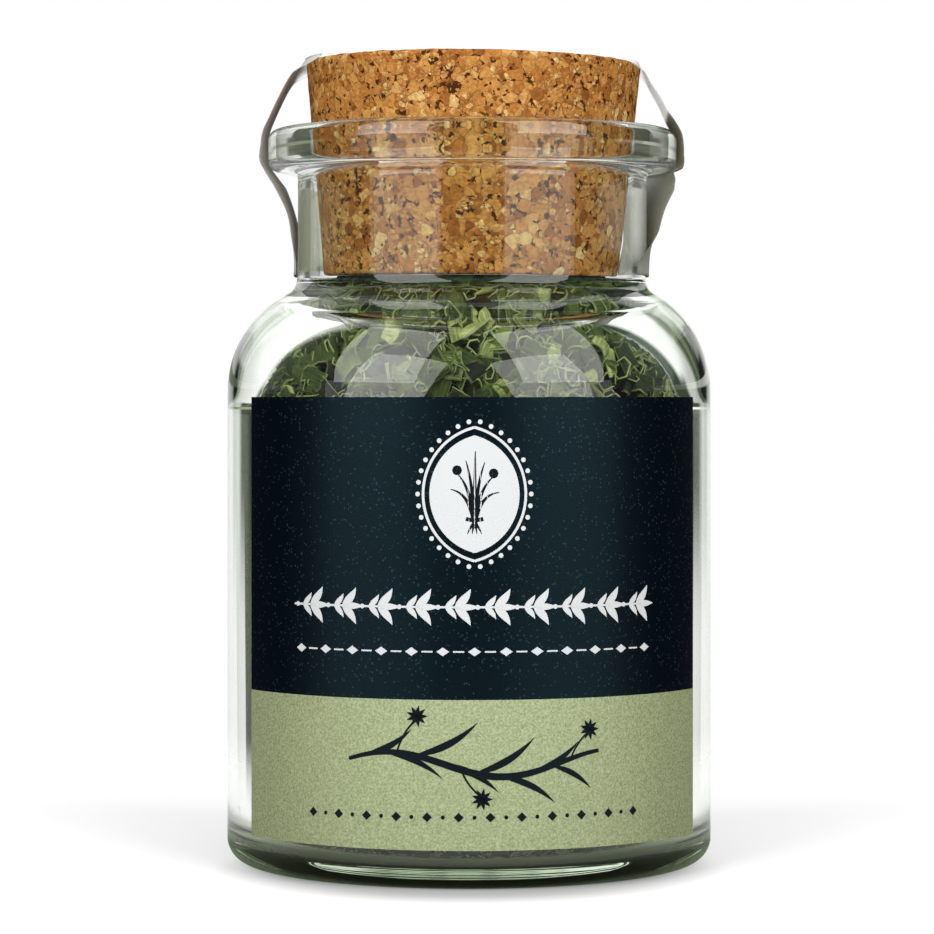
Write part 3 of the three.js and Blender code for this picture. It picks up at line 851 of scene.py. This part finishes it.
# Dark paper with flecks above, mottled green paper below. Both are duller where seen at a slant, and painted
# darker there as painted shade.
def labelMaterial():
    material, tree, shader = newMaterial("labelPaper", {"Roughness": 0.33, "Specular Tint": label["sheen"]})
    place = addNode(tree, "TexCoord")["Object"]
    isDark = addMath("GREATER_THAN", addSplit(place)["Z"], label["split"] * mm)
    isFleck = addGroup(specks, place, label["flecks"])["Mask"]
    grain = addGroup(mottle, place, label["sage"])
    field = mix(isDark, grain["Color"], mix(isFleck, label["navy"], label["fleck"]))
    slant = addNode(tree, "LayerWeight", {"Blend": 0.5})["Facing"]
    # Painted shade: the paper's colour darkens where it is seen at a slant.
    feed(shader.inputs["Base Color"], tinted(field, addRange(slant, *label["slantShade"])))
    feed(shader.inputs["Specular IOR Level"], addRange(slant, *label["gloss"]))
    addBump(grain["Height"], *label["bump"], shader)
    return material


# Points on the jar's body at these radii, angles round it from the front and heights.
def onBody(radius, angle, z):
    return joined(radius * np.sin(angle), -radius * np.cos(angle), z)


# A flat drawing bent round the label: u is the way round from the drawings' middle and v the height, in mm.
def onLabel(flat, lift):
    outer = bodyRadius + label["gap"] + label["paper"]
    return onBody(outer + lift, (flat[..., 0] + label["middle"]) / outer, flat[..., 1])


# A curved sheet of paper: each row runs round its outer face and back round its inner face.
def makeLabel():
    across, rows = label["across"], label["rows"]
    angle = thereAndBack(np.radians(np.linspace(label["fromDeg"], label["toDeg"], across + 1)))
    inner = bodyRadius + label["gap"]
    radius = np.repeat([inner + label["paper"], inner], across + 1)
    z = np.linspace(label["bottom"], label["top"], rows)[:, None]
    points = onBody(radius, angle, z).reshape(-1, 3)
    piece = makePiece("label_paper", points, sheetFaces(rows, across), labelMaterial(), smooth=False)
    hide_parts("front_label")
    return piece


# Printed strokes, each a line of (u, v) points with half widths. Its section runs from the left edge to the
# right one on the outer side and back close to the paper.
def printStrokes(name, strokes, material):
    allPoints, allFaces, start = [], [], 0
    for line, halfWidth, across in strokes:
        line = np.asarray(line, dtype=float)
        ahead = unit(np.gradient(line, axis=0))
        left = joined(-ahead[:, 1], ahead[:, 0])
        side = thereAndBack(np.linspace(-1, 1, across + 1))[:, None]
        halfWidth = np.maximum(np.broadcast_to(halfWidth, len(line)), 0.02)[:, None, None]
        lift = np.repeat([label["print"], 0.005], across + 1)
        allPoints.append(onLabel(line[:, None] + left[:, None] * halfWidth * side, lift).reshape(-1, 3))
        allFaces.extend(faces + start for faces in sheetFaces(len(line), across))
        start += len(allPoints[-1])
    piece = makePiece(name, np.vstack(allPoints), allFaces, material, smooth=False)
    return piece


# A curve from a start to an end by a pull point: the squares of the shares left and gone, and twice their
# product, weigh the three.
def swing(start, pull, end, count=14):
    t = np.linspace(0, 1, count)[:, None]
    return (1 - t) ** 2 * np.array(start) + 2 * t * (1 - t) * np.array(pull) + t ** 2 * np.array(end)


# A dot or a diamond, as a short level stroke whose half width follows a circle or two straight slopes.
def dot(u, v, radius):
    t = np.linspace(-1, 1, 13)
    return joined(u + radius * t, v), radius * np.sqrt(1 - t ** 2), 2


def diamond(u, v, halfLength, halfHeight):
    t = np.linspace(-1, 1, 5)
    return joined(u + halfLength * t, v), halfHeight * (1 - np.abs(t)), 2


# A leaf between two points, widest a little past its foot.
def leaf(start, end, halfWidth, bow=0.0):
    start, end = np.array(start), np.array(end)
    along = end - start
    pull = (start + end) / 2 + bow * np.array([-along[1], along[0]])
    t = np.linspace(0, 1, 12)
    return swing(start, pull, end, 12), halfWidth * np.sin(np.pi * t ** 0.8) ** 0.9, 2


# Half the width of a shape between two equal arcs, at shares of its half height.
def pointedOval(share, halfWidth, halfHeight):
    arcRadius = (halfWidth ** 2 + halfHeight ** 2) / (2 * halfWidth)
    return np.sqrt(arcRadius ** 2 - (halfHeight * share) ** 2) - (arcRadius - halfWidth)


# The closed outline of a pointed oval as a thin stroke, in two halves.
def ovalRing(v, halfWidth, halfHeight, thickness):
    share = np.linspace(-1, 1, 60)
    reach = pointedOval(share, halfWidth, halfHeight)
    return [(joined(side * reach, v + halfHeight * share), thickness, 1) for side in (-1, 1)]


# Beads set evenly along a pointed oval's outline.
def ovalBeads(v, halfWidth, halfHeight, count, radius):
    share = np.linspace(-1, 1, 400)
    reach = pointedOval(share, halfWidth, halfHeight)
    run = np.concatenate([[0], np.cumsum(np.hypot(np.diff(reach), halfHeight * np.diff(share)))])
    at = (np.arange(count) + 0.5) / count * run[-1]
    u, heights = np.interp(at, run, reach), v + halfHeight * np.interp(at, run, share)
    return [dot(side * a, b, radius) for side in (-1, 1) for a, b in zip(u, heights)]


# The silver print: a plaque in a beaded ring, a row of leaf sprays, and a rule of diamonds under it.
def silverStrokes():
    emblemV, rowV, ruleV = 50.0, 35.8, 30.2
    share = np.linspace(-0.995, 0.995, 40)
    yield joined(0, emblemV + 7.4 * share), pointedOval(share, 5.7, 7.4), 14
    yield from ovalRing(emblemV, 6.5, 8.4, 0.17)
    yield from ovalBeads(emblemV, 7.2, 9.3, 17, 0.3)
    for u in np.arange(-22.5, 22.6, 5.0):
        for side in (-1, 1):
            yield leaf((u, rowV), (u + 2.0, rowV + side * 2.3), 0.52, -side * 0.16)
            yield leaf((u - 1.2, rowV), (u + 0.2, rowV + side * 1.5), 0.36, -side * 0.16)
        yield leaf((u, rowV), (u + 3.1, rowV), 0.42)
        yield dot(u - 2.1, rowV, 0.3)
    yield swing((-25.2, rowV), (0, rowV), (25.2, rowV), 60), 0.13, 1
    for u in np.arange(-24, 24.1, 4.0):
        yield diamond(u, ruleV, 0.8, 0.55)
        if u < 23:
            yield swing((u + 1.3, ruleV), (u + 2, ruleV), (u + 2.7, ruleV), 6), 0.1, 1


# The dark print: a tuft on the plaque, and on the green field a lying sprig and a dotted rule.
def inkStrokes():
    emblemV = 50.0
    foot = (0.0, emblemV - 3.6)
    tips = [(-3.0, 0.6), (-2.2, 2.6), (-1.1, 4.2), (0.1, 5.4), (1.3, 4.0), (2.4, 2.2), (3.1, 0.2)]
    for u, v in tips:
        line = swing(foot, (u * 0.25, emblemV + v * 0.4), (u, emblemV + v), 16)
        yield line, np.linspace(0.34, 0.06, 16), 1
    for u, v in (tips[1], tips[5]):
        yield dot(u, emblemV + v + 0.4, 0.62)
    yield swing((-1.1, foot[1] + 0.5), (0, foot[1] + 0.15), (1.1, foot[1] + 0.5), 8), 0.26, 1
    for u in (-0.9, -0.3, 0.3, 0.9):
        root = swing(foot, (u * 0.6, foot[1] - 0.5), (u, foot[1] - 1.4), 8)
        yield root, np.linspace(0.26, 0.04, 8), 1
    low = 16.0
    t = np.linspace(0, 1, 70)
    stem = joined(-16.5 + 33 * t, low + 1.5 * np.sin(2 * np.pi * (t * 1.15 + 0.05)))
    yield stem, 0.24 + 0.22 * np.sin(np.pi * t), 1
    for at, du, dv, width in ((0.06, 6.5, 3.4, 0.42), (0.15, 7.5, -3.2, 0.40), (0.27, 8.0, 4.2, 0.46),
                              (0.38, 7.0, -3.6, 0.42), (0.50, 7.6, 4.4, 0.46), (0.60, 7.0, -3.4, 0.42),
                              (0.71, 6.6, 3.8, 0.42), (0.80, 5.4, -3.0, 0.36)):
        u, v = np.interp(at, t, stem[:, 0]), np.interp(at, t, stem[:, 1])
        yield leaf((u, v), (u + du, v + dv), width, -0.16 * np.sign(dv))
    for at, dv in ((0.2, 4.6), (0.45, -3.7), (0.88, 3.6)):
        u, v = np.interp(at, t, stem[:, 0]), np.interp(at, t, stem[:, 1])
        yield swing((u, v), (u + 0.6, v + dv * 0.5), (u + 2.4, v + dv * 0.9), 12), 0.12, 1
        yield dot(u + 2.6, v + dv, 0.72)
        for angle in np.radians(np.arange(0, 360, 40)):
            ray = (u + 2.6 + 1.35 * np.cos(angle), v + dv + 1.35 * np.sin(angle))
            yield leaf((u + 2.6, v + dv), ray, 0.24)
    for count, u in enumerate(np.arange(-22, 22.1, 2.0)):
        yield diamond(u, 9.4, 0.62, 0.62) if count % 2 == 0 else dot(u, 9.4, 0.26)


labelPaper = makeLabel()
silverInk = newMaterial("silverPrint", {
    "Base Color": label["silver"], "Roughness": 0.4, "Specular IOR Level": 0.15})[0]
darkInk = newMaterial("darkPrint", {
    "Base Color": label["ink"], "Roughness": 0.4, "Specular IOR Level": 0.06})[0]
silverPrint = printStrokes("label_silver_print", silverStrokes(), silverInk)
darkPrint = printStrokes("label_dark_print", inkStrokes(), darkInk)
print("label:", len(labelPaper.data.polygons), "faces of paper,",
      len(silverPrint.data.polygons) + len(darkPrint.data.polygons), "of print")


seal = {
    "width": 19.0,
    "thickness": 0.1,
    "gap": 0.3,
    "endHeight": 78.4,
    "wrapHeights": (79.0, 84.5),  # both ends are bent round the neck at the first and flat at the second
    "wrapShare": (0.3, 1.0),  # how far they are bent, on -X and +X
    "rimWrap": (105.0, 107.3),  # it is bent round the stopper's rim from the first height to the second
    # Slope of the strip's edges against its middle line at these heights, on -X and +X.
    "slopeHeights": (80, 87, 91, 92.7, 94.2, 99, 104),
    "leftSlopes": (0, 0.02, 0.057, 0.04, 0.022, -0.04, -0.048),
    "rightSlopes": (0, 0.13, 0.21, 0.22, 0.0, -0.03, -0.06),
    # On +X its edges are also drawn in under the lip, by these shares of a full wrap at these heights.
    "underLipHeights": (89.5, 91, 92.7, 94.2),
    "underLipShares": (0, 0.3, 1, 0),
    "steps": 260,
    "across": 24,
    # painted light and shade: the one clear film's tones by side and above the lip
    "leftShadedTone": (0.42, 0.415, 0.41, 1),
    "rightShadedTone": (0.25, 0.255, 0.21, 1),
    "upperLitTone": (0.48, 0.48, 0.47, 1),  # on +X above the lip, where it is clearer, painted paler as painted light
    "upperFrom": (0.5, 2.5),  # it goes over into that between these heights above the lip
    "roughness": 0.5,
    "haze": (0.15, 0.33),  # part of the light kept back by each skin, looked at straight on, on -X and +X
    "upperHaze": 0.018,
    "endFacing": (-0.9, -0.6),  # faces that look down as steeply as this, at the strip's ends, fade out
}


# A curve of equal steps through points: cubic pieces, each leaving a point parallel to the line between that
# point's neighbours.
def smoothRoute(knots, count):
    padded = np.vstack([2 * knots[0] - knots[1], knots, 2 * knots[-1] - knots[-2]])
    share = np.linspace(0, 1, 24, endpoint=False)[:, None]
    parts = []
    for a, b, c, d in zip(padded[:-3], padded[1:-2], padded[2:-1], padded[3:]):
        parts.append(0.5 * (2 * b + (c - a) * share + (2 * a - 5 * b + 4 * c - d) * share ** 2
                            + (3 * b - a - 3 * c + d) * share ** 3))
    dense = np.vstack(parts + [knots[-1:]])
    run = np.concatenate([[0], np.cumsum(np.hypot(*np.diff(dense, axis=0).T))])
    at = np.linspace(0, run[-1], count)
    return joined(np.interp(at, run, dense[:, 0]), np.interp(at, run, dense[:, 1]))


# The strip's under face in section, up from its end on the -X side of the neck, over the stopper and down.
def sealRoute():
    neck = jar["neckRadius"] + seal["gap"]
    lip = jar["lipRadius"] + seal["gap"]
    rim = cork["topRadius"] + seal["gap"]
    lift = cork["topRadius"] * math.sin(math.radians(cork["tiltDeg"]))
    top = cork["top"] + seal["gap"]
    end = seal["endHeight"]
    left = [
        (-neck, end), (-neck, 81.6), (-neck - 0.1, 84.5), (-24.35, 86.8), (-25.8, 90.3), (-lip + 0.75, 92.25),
        (-lip - 0.05, 93.7), (-lip - 0.1, 95.6), (-lip - 0.05, 97.2), (-lip + 0.45, 98.8), (-26.0, 101.8),
        (-24.7, 104.3), (-rim - 0.45, top - 1.2 + lift), (-rim + 0.45, top - 0.1 + lift),
        (-rim + 2.4, top + lift * 0.9),
    ]
    right = [
        (rim - 2.4, top - lift * 0.9), (rim - 0.45, top - 0.1 - lift), (rim + 0.3, top - 1.4 - lift),
        (rim + 1.2, 103.9), (25.15, 102.0), (26.15, 100.0), (lip - 0.6, 98.3), (lip + 0.05, 96.7),
        (lip + 0.08, 94.2), (lip - 0.5, 92.75), (25.9, 92.15), (neck + 1.55, 91.0), (neck + 1.05, 89.4),
        (neck + 0.35, 87.0), (neck + 0.05, 84.0), (neck, 81.5), (neck, end),
    ]
    return smoothRoute(np.array(left + [(0, top)] + right), seal["steps"])


# Clear film: along a slanting ray it keeps back 1 - exp(-haze / cosine of the slant) of the light.
# Its tone and haze, set by side and by height, are painted light and shade.
def filmMaterial():
    material, tree, shader = newMaterial("clearFilm", {
        "Roughness": seal["roughness"], "Specular IOR Level": 0.0})
    axes = addSplit(addNode(tree, "TexCoord")["Object"])
    isRight = addRange(axes["X"], 0, 5 * mm)
    isHigh = addRange(axes["Z"], *((lipTop + height) * mm for height in seal["upperFrom"]))
    upper = times(isRight, isHigh)
    # Painted shade and light: the tone is set by side and by height.
    tone = mix(isRight, seal["leftShadedTone"], seal["rightShadedTone"])
    feed(shader.inputs["Base Color"], mix(upper, tone, seal["upperLitTone"]))
    clearer = seal["upperHaze"] / seal["haze"][1]
    haze = times(addRange(isRight, 0, 1, *seal["haze"]), addRange(upper, 0, 1, 1.0, clearer))
    facing = addSplit(addNode(tree, "NewGeometry")["Normal"])["Z"]
    haze = times(haze, addRange(facing, *seal["endFacing"]))
    cosine = larger(minus(1.0, addNode(tree, "LayerWeight", {"Blend": 0.5})["Facing"]), 0.02)
    passed = addMath("EXPONENT", times(addMath("DIVIDE", haze, cosine), -1.0))
    feed(shader.inputs["Alpha"], minus(1.0, passed))
    return material


# A band carried along the route. Its section is bent round towards both ends and over the stopper's rim, and
# drawn in under the lip on +X, and its edges slope a little.
def makeSeal():
    route = sealRoute()
    tangent = unit(np.gradient(route, axis=0))
    across = np.linspace(-0.5, 0.5, seal["across"] + 1) * seal["width"]
    y = thereAndBack(across)
    lift = np.repeat([seal["thickness"], 0], len(across))
    x = route[:, :1] - tangent[:, 1:] * lift
    z = route[:, 1:] + tangent[:, :1] * lift
    share = np.where(x < 0, *seal["wrapShare"])
    wrap = share * (1 - smoothStep(z, *seal["wrapHeights"])) + smoothStep(z, *seal["rimWrap"])
    wrap += np.where(x < 0, 0, np.interp(z, seal["underLipHeights"], seal["underLipShares"]))
    around = np.maximum(np.abs(x), cork["topRadius"])
    pull = (around - np.sqrt(around ** 2 - y ** 2)) * wrap
    left, right = (np.interp(z, seal["slopeHeights"], seal[key]) for key in ("leftSlopes", "rightSlopes"))
    x = x * (1 - pull / around) - y * np.sign(x) * np.where(x < 0, left, right)
    points = joined(x, y, z).reshape(-1, 3)
    piece = makePiece("seal_film", points, sheetFaces(len(route), seal["across"]), filmMaterial())
    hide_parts("seal_strip")
    return piece


sealStrip = makeSeal()
print("seal strip:", len(sealStrip.data.polygons), "faces")


studio = {
    "floorRadius": 0.32,
    "floorTurns": 96,
    "floorRings": 29,
    "floorFade": (0.06, 0.2),
    "floorColor": (0.8, 0.8, 0.8, 1),
    "floorGlow": 0.16,
    "floorBounce": 0.28,  # part of its tone that dull surfaces get back from it
    "shadowMiddle": (0, -0.012, 0),
    "contactShadow": (0.021, 0.036, 0.42, 1.0),  # painted shadow: the floor is darkened between these distances, and how much is left
    "underJar": (0.027, 0.031),  # inside these distances it has the painted shade tone below
    "underGlass": (0.034, 0.075),  # and inside these as the glass sees it
    "underJarShade": (0.24, 0.30, 0.185, 1),
    "boxDistance": 0.62,
    "boxAngleDeg": 45,
    "boxWidth": 0.56,
    "boxes": {
        "upperBox": {"height": 0.525, "tall": 0.76, "power": 5.2, "tiltDeg": 22},
        "lowerBox": {"height": 0.07, "tall": 0.2, "power": 0.36, "tiltDeg": 0},
    },
    # Light on dull surfaces: from all round, and how much more from straight above and from the front.
    "fill": {"low": 0.01, "above": 0.85, "front": 2.7},
    # What the glass sees, by the heights of a direction and its degrees from straight behind.
    "behind": (-0.1, 0.3),  # how far back a direction points where the front goes over into what is behind
    "table": (-0.1, 0.75, 0.2, 0.95),  # from these depths, in front and behind, to the last two tones
    "nearTable": (-0.09, -0.17, 1.0, 1.6),  # and how much brighter it is close by, from these heights on
    "tableEdge": (-0.02, -0.07),
    "tableSides": {"degrees": (34, 42), "drop": 0.2},  # beyond these it ends this much lower
    "front": (0.08, 0.08, 0.08, 1),
    "backdrop": [
        (-90, (0.03, 0.042, 0.024)), (-31, (0.035, 0.05, 0.028)), (-26, (0.93, 0.95, 0.92)),
        (20, (0.93, 0.95, 0.92)), (27, (0.045, 0.058, 0.036)), (90, (0.035, 0.045, 0.028)),
    ],
    "cards": [  # a row of cards at the height that the neck shows
        (-90, (0.30, 0.33, 0.23)), (-11, (0.34, 0.37, 0.26)), (-6, (0.55, 0.57, 0.51)),
        (6, (0.60, 0.62, 0.57)), (9, (1.25, 1.27, 1.18)), (46, (1.25, 1.27, 1.18)),
        (50, (0.62, 0.66, 0.56)), (90, (0.62, 0.66, 0.56)),
    ],
    "screen": [  # above the backdrop
        (-90, (0.03, 0.042, 0.024)), (-50, (0.04, 0.055, 0.03)), (-44, (1.35, 1.37, 1.34)),
        (35, (1.35, 1.37, 1.34)), (39, (0.05, 0.08, 0.055)), (90, (0.03, 0.042, 0.024)),
    ],
    "screenFoot": [  # its lower part, dark in the middle with pale gaps
        (-46, (0.04, 0.055, 0.03)), (-42, (1.2, 1.22, 1.19)), (-17, (1.2, 1.22, 1.19)),
        (-15, (0.62, 0.68, 0.58)), (-13.5, (0.85, 0.90, 0.82)), (-11.5, (0.80, 0.86, 0.76)),
        (-10, (0.34, 0.40, 0.29)), (-8.5, (0.50, 0.57, 0.45)), (-5.5, (0.42, 0.50, 0.36)),
        (-3, (0.05, 0.07, 0.04)), (-1.5, (0.30, 0.38, 0.24)), (2.5, (0.32, 0.40, 0.26)),
        (4, (0.06, 0.09, 0.05)), (8, (0.30, 0.38, 0.24)), (11, (0.28, 0.36, 0.22)),
        (13, (0.07, 0.10, 0.05)), (16, (0.30, 0.36, 0.25)), (19, (0.85, 0.88, 0.83)),
        (30, (0.85, 0.88, 0.83)), (34, (0.06, 0.08, 0.05)),
    ],
    "cardHeights": ((0.018, 0.030), (0.062, 0.067)),
    "screenHeights": (0.12, 0.17),
    "footHeights": (0.33, 0.40),
    "cameraDistance": 471.25,
    "cameraHeight": 62.2,
    "focalPixels": 3494,
    "frameSize": 934,
    "shiftPixels": (-2, -70),
    "sensorWidth": 36,
    "clipStart": 0.02,
}


# A level disc of rings with a painted shadow near the jar and painted shade under it, which fades out into
# the white surroundings.
def makeFloor():
    turns = studio["floorTurns"]
    rings = np.linspace(0, studio["floorRadius"], studio["floorRings"] + 1)[1:, None]
    around = np.arange(turns)
    angle = np.linspace(0, 2 * np.pi, turns, endpoint=False)
    points = np.vstack([polar(rings, angle, 0).reshape(-1, 3), [[0, 0, 0]]])
    fan = joined(around, (around + 1) % turns, len(points) - 1)
    quads = gridQuads(len(rings), turns, closed=True)[:, ::-1]
    mesh = bpy.data.meshes.new("floor")
    mesh.from_pydata(points.tolist(), [], quads.tolist() + fan.tolist())
    floor = bpy.data.objects.new("floor", mesh)
    bpy.context.scene.collection.objects.link(floor)
    material, tree, shader = newMaterial("floorPaper", {
        "Roughness": 0.9, "Specular IOR Level": 0.0, "Emission Strength": studio["floorGlow"]})
    place = addNode(tree, "TexCoord")["Object"]
    path = addNode(tree, "LightPath")
    distance = addNode(tree, "VectorMath", {0: place}, operation="LENGTH")["Value"]
    # Painted contact shadow round the jar's foot, its middle a little to the front.
    apart = addNode(tree, "VectorMath", {0: place, 1: studio["shadowMiddle"]}, operation="DISTANCE")
    shade = addRange(apart["Value"], *studio["contactShadow"])
    bounce = addRange(path["Is Diffuse Ray"], 0, 1, 1.0, studio["floorBounce"])
    # Painted shade under the jar: as the camera sees the floor, and wider as the glass sees it.
    forGlass, forCamera = (addRange(distance, *studio[key]) for key in ("underGlass", "underJar"))
    isOpen = mix(path["Is Camera Ray"], forGlass, forCamera, "FLOAT")
    shown = tinted(mix(isOpen, studio["underJarShade"], (1, 1, 1, 1)), times(shade, bounce))
    feed(shader.inputs["Base Color"], tinted(studio["floorColor"], shown))
    feed(shader.inputs["Emission Color"], shown)
    mixSurface(tree, addRange(distance, *studio["floorFade"]), shader, addNode(tree, "BsdfTransparent"))
    mesh.materials.append(material)


# White to the eye. Dull surfaces get a constant, the square of the direction's height and the fourth power of
# how far it points to the front. The glass sees a pale table, and above it a backdrop, cards and a screen.
def makeWorld():
    world = bpy.data.worlds.new("studioWhite")
    world.use_nodes = True
    tree = world.node_tree
    x, y, z = addSplit(addNode(tree, "TexCoord")["Generated"])
    turn = addMath("ARCTAN2", x, y)
    across = addMath("MULTIPLY_ADD", turn, 1 / math.pi, 0.5)
    backdrop, cards, screen, foot = (
        addRamp(across, [(deg / 180 + 0.5, tone) for deg, tone in studio[key]])
        for key in ("backdrop", "cards", "screen", "screenFoot"))
    screen = mix(addRange(z, *studio["footHeights"]), foot, screen)
    back = mix(addRange(z, *studio["screenHeights"]), backdrop, screen)
    low, high = studio["cardHeights"]
    back = mix(times(addRange(z, *low), addRange(z, *high, 1.0, 0.0)), back, cards)
    above = mix(addRange(y, *studio["behind"]), studio["front"], back)
    table = times(addRange(y, *studio["table"]), addRange(z, *studio["nearTable"]))
    limits = (math.radians(deg) for deg in studio["tableSides"]["degrees"])
    side = addRange(addMath("ABSOLUTE", turn), *limits)
    edge = addMath("MULTIPLY_ADD", side, studio["tableSides"]["drop"], z)
    throughGlass = mix(addRange(edge, *studio["tableEdge"]), above, table)
    fill = studio["fill"]
    up = addMath("POWER", larger(z, 0.0), 2.0)
    frontal = addMath("POWER", larger(times(y, -1.0), 0.0), 4.0)
    dull = addMath("MULTIPLY_ADD", up, fill["above"], fill["low"])
    dull = addMath("MULTIPLY_ADD", frontal, fill["front"], dull)
    path = addNode(tree, "LightPath")
    seen = mix(path["Is Diffuse Ray"], throughGlass, dull)
    seen = mix(path["Is Camera Ray"], seen, (1, 1, 1, 1))
    feed(tree.nodes["Background"].inputs["Color"], seen)
    bpy.context.scene.world = world


# A soft box: a flat lamp on a circle round the jar, at an angle from the camera's side, facing the jar.
def addSoftBox(name, angleDeg, panel):
    lamp = bpy.data.lights.new(name, "AREA")
    lamp.shape = "RECTANGLE"
    lamp.size, lamp.size_y = studio["boxWidth"], panel["tall"]
    lamp.energy = panel["power"]
    box = bpy.data.objects.new(name, lamp)
    angle, distance = math.radians(angleDeg), studio["boxDistance"]
    box.location = (distance * math.sin(angle), -distance * math.cos(angle), panel["height"])
    box.rotation_euler = (math.radians(90 - panel["tiltDeg"]), 0, angle)
    bpy.context.scene.collection.objects.link(box)


# A level camera in front of the label. Its lens and shifts are given in pixels.
def addCamera():
    camera = bpy.data.cameras.new("camera")
    camera.sensor_width = studio["sensorWidth"]
    camera.lens = studio["focalPixels"] / studio["frameSize"] * camera.sensor_width
    camera.shift_x, camera.shift_y = (pixels / studio["frameSize"] for pixels in studio["shiftPixels"])
    camera.clip_start = studio["clipStart"]
    holder = bpy.data.objects.new("camera", camera)
    holder.location = (0, -studio["cameraDistance"] * mm, studio["cameraHeight"] * mm)
    holder.rotation_euler = (math.radians(90), 0, 0)
    bpy.context.scene.collection.objects.link(holder)
    bpy.context.scene.camera = holder


makeFloor()
makeWorld()
for side, angleDeg in (("Left", -studio["boxAngleDeg"]), ("Right", studio["boxAngleDeg"])):
    for name, panel in studio["boxes"].items():
        addSoftBox(name + side, angleDeg, panel)
addCamera()

scene = bpy.context.scene
scene.view_settings.view_transform = "Standard"
scene.cycles.max_bounces = 14
scene.cycles.transmission_bounces = 12
scene.cycles.transparent_max_bounces = 14
scene.cycles.glossy_bounces = 5
scene.cycles.caustics_reflective = False
scene.cycles.caustics_refractive = False
print("studio: floor, soft boxes and camera")
